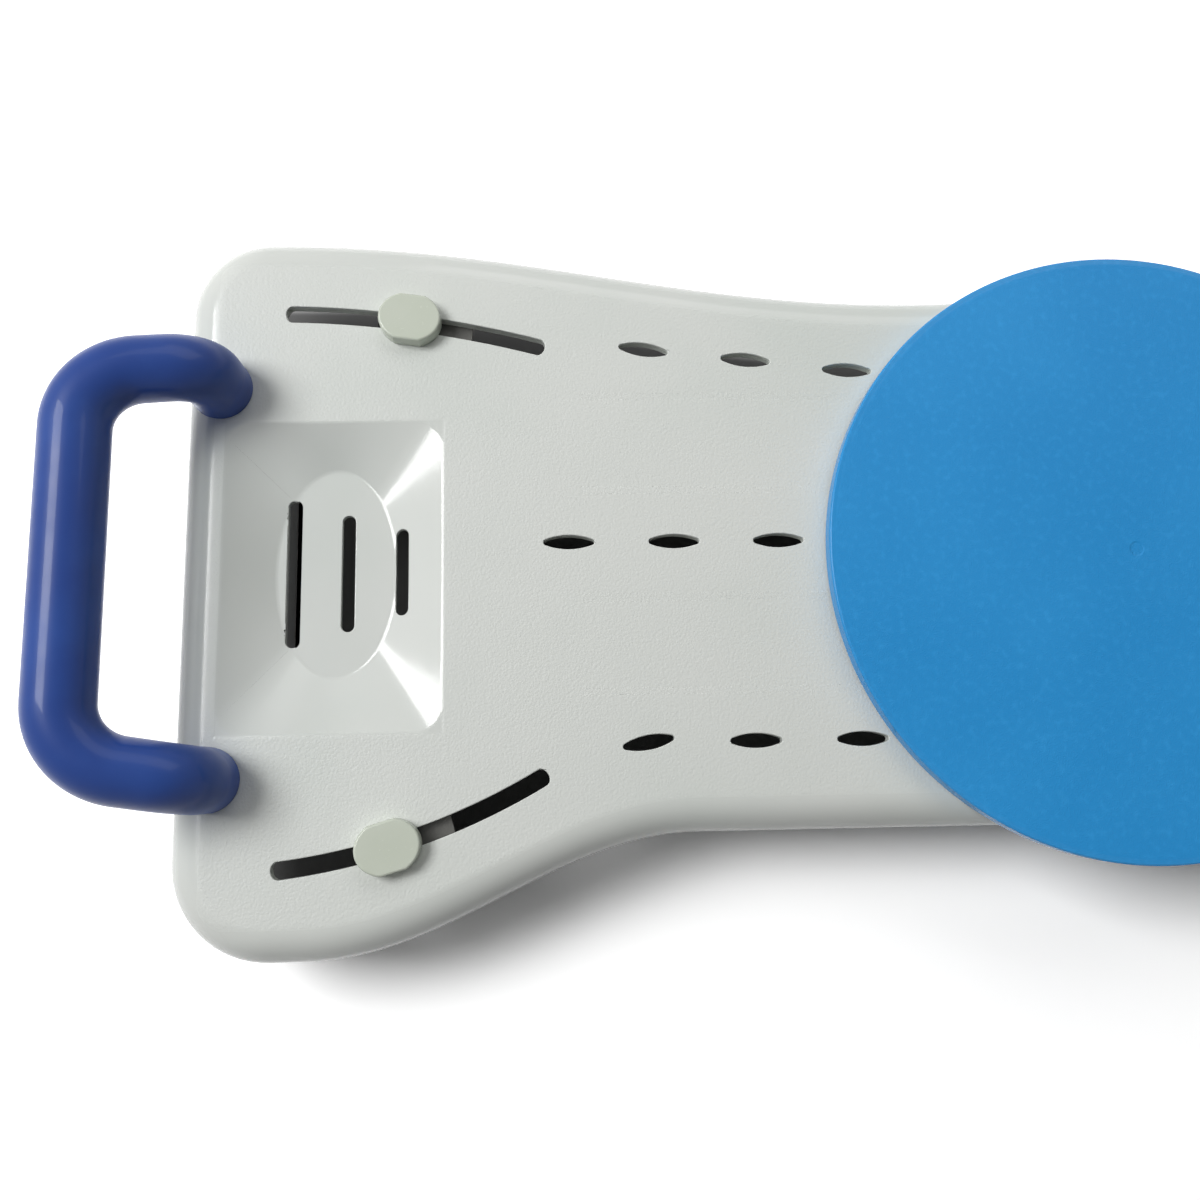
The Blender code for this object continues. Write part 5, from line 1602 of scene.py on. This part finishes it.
# %% Pivot bolt
PIVOT_HEAD = 0.0098
PIVOT_HEAD_DEPTH = 0.0064
PIVOT_LENGTH = 0.018
PIVOT_CHAMFER = 0.0013
CHAMFER_STEPS = 96
HEAD_FLATS = PIVOT_HEAD * math.cos(math.pi / 6)

head_foot = disc_centre + (pivot_seat - PIVOT_HEAD_DEPTH) * UP
bolt = rod(PIVOT_HEAD, head_foot, PIVOT_HEAD_DEPTH, 6)
bolt.name = "hexagon_bolt"
section = [(0.0, 0.0), (HEAD_FLATS - GAP, 0.0), (HEAD_FLATS + PIVOT_CHAMFER, PIVOT_CHAMFER)]
section += [(HEAD_FLATS + PIVOT_CHAMFER, PIVOT_HEAD_DEPTH + GAP), (0.0, PIVOT_HEAD_DEPTH + GAP)]
combine(bolt, "INTERSECT", turned("chamfer", section, head_foot, CHAMFER_STEPS))
section = [(0.0, PIVOT_HEAD_DEPTH / 2), (PIVOT_RADIUS, PIVOT_HEAD_DEPTH / 2)]
section += threaded(PIVOT_RADIUS, PIVOT_HEAD_DEPTH + 4 * THREAD_PITCH, PIVOT_HEAD_DEPTH + PIVOT_LENGTH)
combine(bolt, "UNION", turned("shank", section, head_foot, BOLT_STEPS))
smooth(bolt)
finish_piece(bolt, "disc", "steel", "pivot_bolt")

# %% Screws of the handle
SCREW_FACE = 0.0032
SCREW_CURVE = 0.0023
SCREW_HEAD_DEPTH = 0.0035
SCREW_GRIP = 0.020
CROSS_REACH = 0.0028
CROSS_WIDTH = 0.0011
CROSS_DEPTH = 0.0022
SCREW_STEPS = 40

seat_z = screw_top - HANDLE_WASHER_DEPTH - GAP
head_low = seat_z - SCREW_HEAD_DEPTH
section = [(0.0, head_low), *arc(SCREW_FACE, head_low + SCREW_CURVE, SCREW_CURVE, -90, 0)]
section += [(SCREW_FACE + SCREW_CURVE, seat_z), (HANDLE_SCREW_RADIUS, seat_z)]
section += threaded(HANDLE_SCREW_RADIUS, seat_z + THREAD_PITCH, SCREW_GRIP)
for y, place in zip(leg_ys, ("front", "rear")):
    centre = at(HANDLE_X, y)
    screw = turned(place + "_screw", section, centre, SCREW_STEPS)
    corner = Vector((CROSS_REACH, CROSS_WIDTH / 2, 0.0))
    for arm in (corner, corner.yxz):
        low = centre - arm + (head_low - OVERCUT) * UP
        combine(screw, "DIFFERENCE", block(low, centre + arm + (head_low + CROSS_DEPTH) * UP))
    smooth(screw)
    finish_piece(screw, "board", "steel", "handle_screw_" + place)

# %% [markdown]
# ## The rubber strips
# Where the board rests on the bath's rim, each end has two rubber strips with grooves along them. They
# are bars like the feet's parts, turned to lie along the board.

# %% Rubber strips
STRIP_WIDTH = 0.010
STRIP_DEPTH = 0.003
STRIP_TEETH = 4
STRIP_GROOVE = 0.001
STRIP_ROUND = 0.00025

strip_length = land_far - land_near - 2 * GAP
strip_top = -BOARD_DEPTH - GAP
strip_low = strip_top - STRIP_DEPTH
tooth = STRIP_WIDTH / (2 * STRIP_TEETH - 1)
section = [(STRIP_WIDTH / 2, strip_top), (-STRIP_WIDTH / 2, strip_top)]
for step in range(STRIP_TEETH):
    left = 2 * step * tooth - STRIP_WIDTH / 2
    section += [(left, strip_low), (left + tooth, strip_low)]
    if step < STRIP_TEETH - 1:
        groove = strip_low + STRIP_GROOVE
        section += [(left + tooth, groove), (left + 2 * tooth, groove)]
strip = bar("rim_strip", section, strip_length)
soften(strip, STRIP_ROUND, 2)
for corner in CORNERS:
    side = -1 if corner.endswith("left") else 1
    y = LAND_YS[corner.startswith("rear")]
    middle = at(side * (land_near + land_far) / 2, y)
    piece = copy_of(strip, corner + "_rim_strip")
    piece.data.transform(Matrix.Translation(middle) @ Matrix.Rotation(math.pi / 2, 4, "Z"))
    finish_piece(piece, "board", "rubber", "rim_strip_" + corner)
bpy.data.objects.remove(strip)

# %% [markdown]
# ## The working model's own parts
# Some pieces of the working model already have their real shape: the ring and the bush inside the
# joint. They stay as they are and only get their finish, which the record names for each of them.

# %% Dress the working model's own parts
for subpart in frame["record"]["subparts"]:
    node = frame["nodes"][subpart["node"]]
    node.data.materials.clear()
    node.data.materials.append(FINISHES[subpart["material_slot"]])
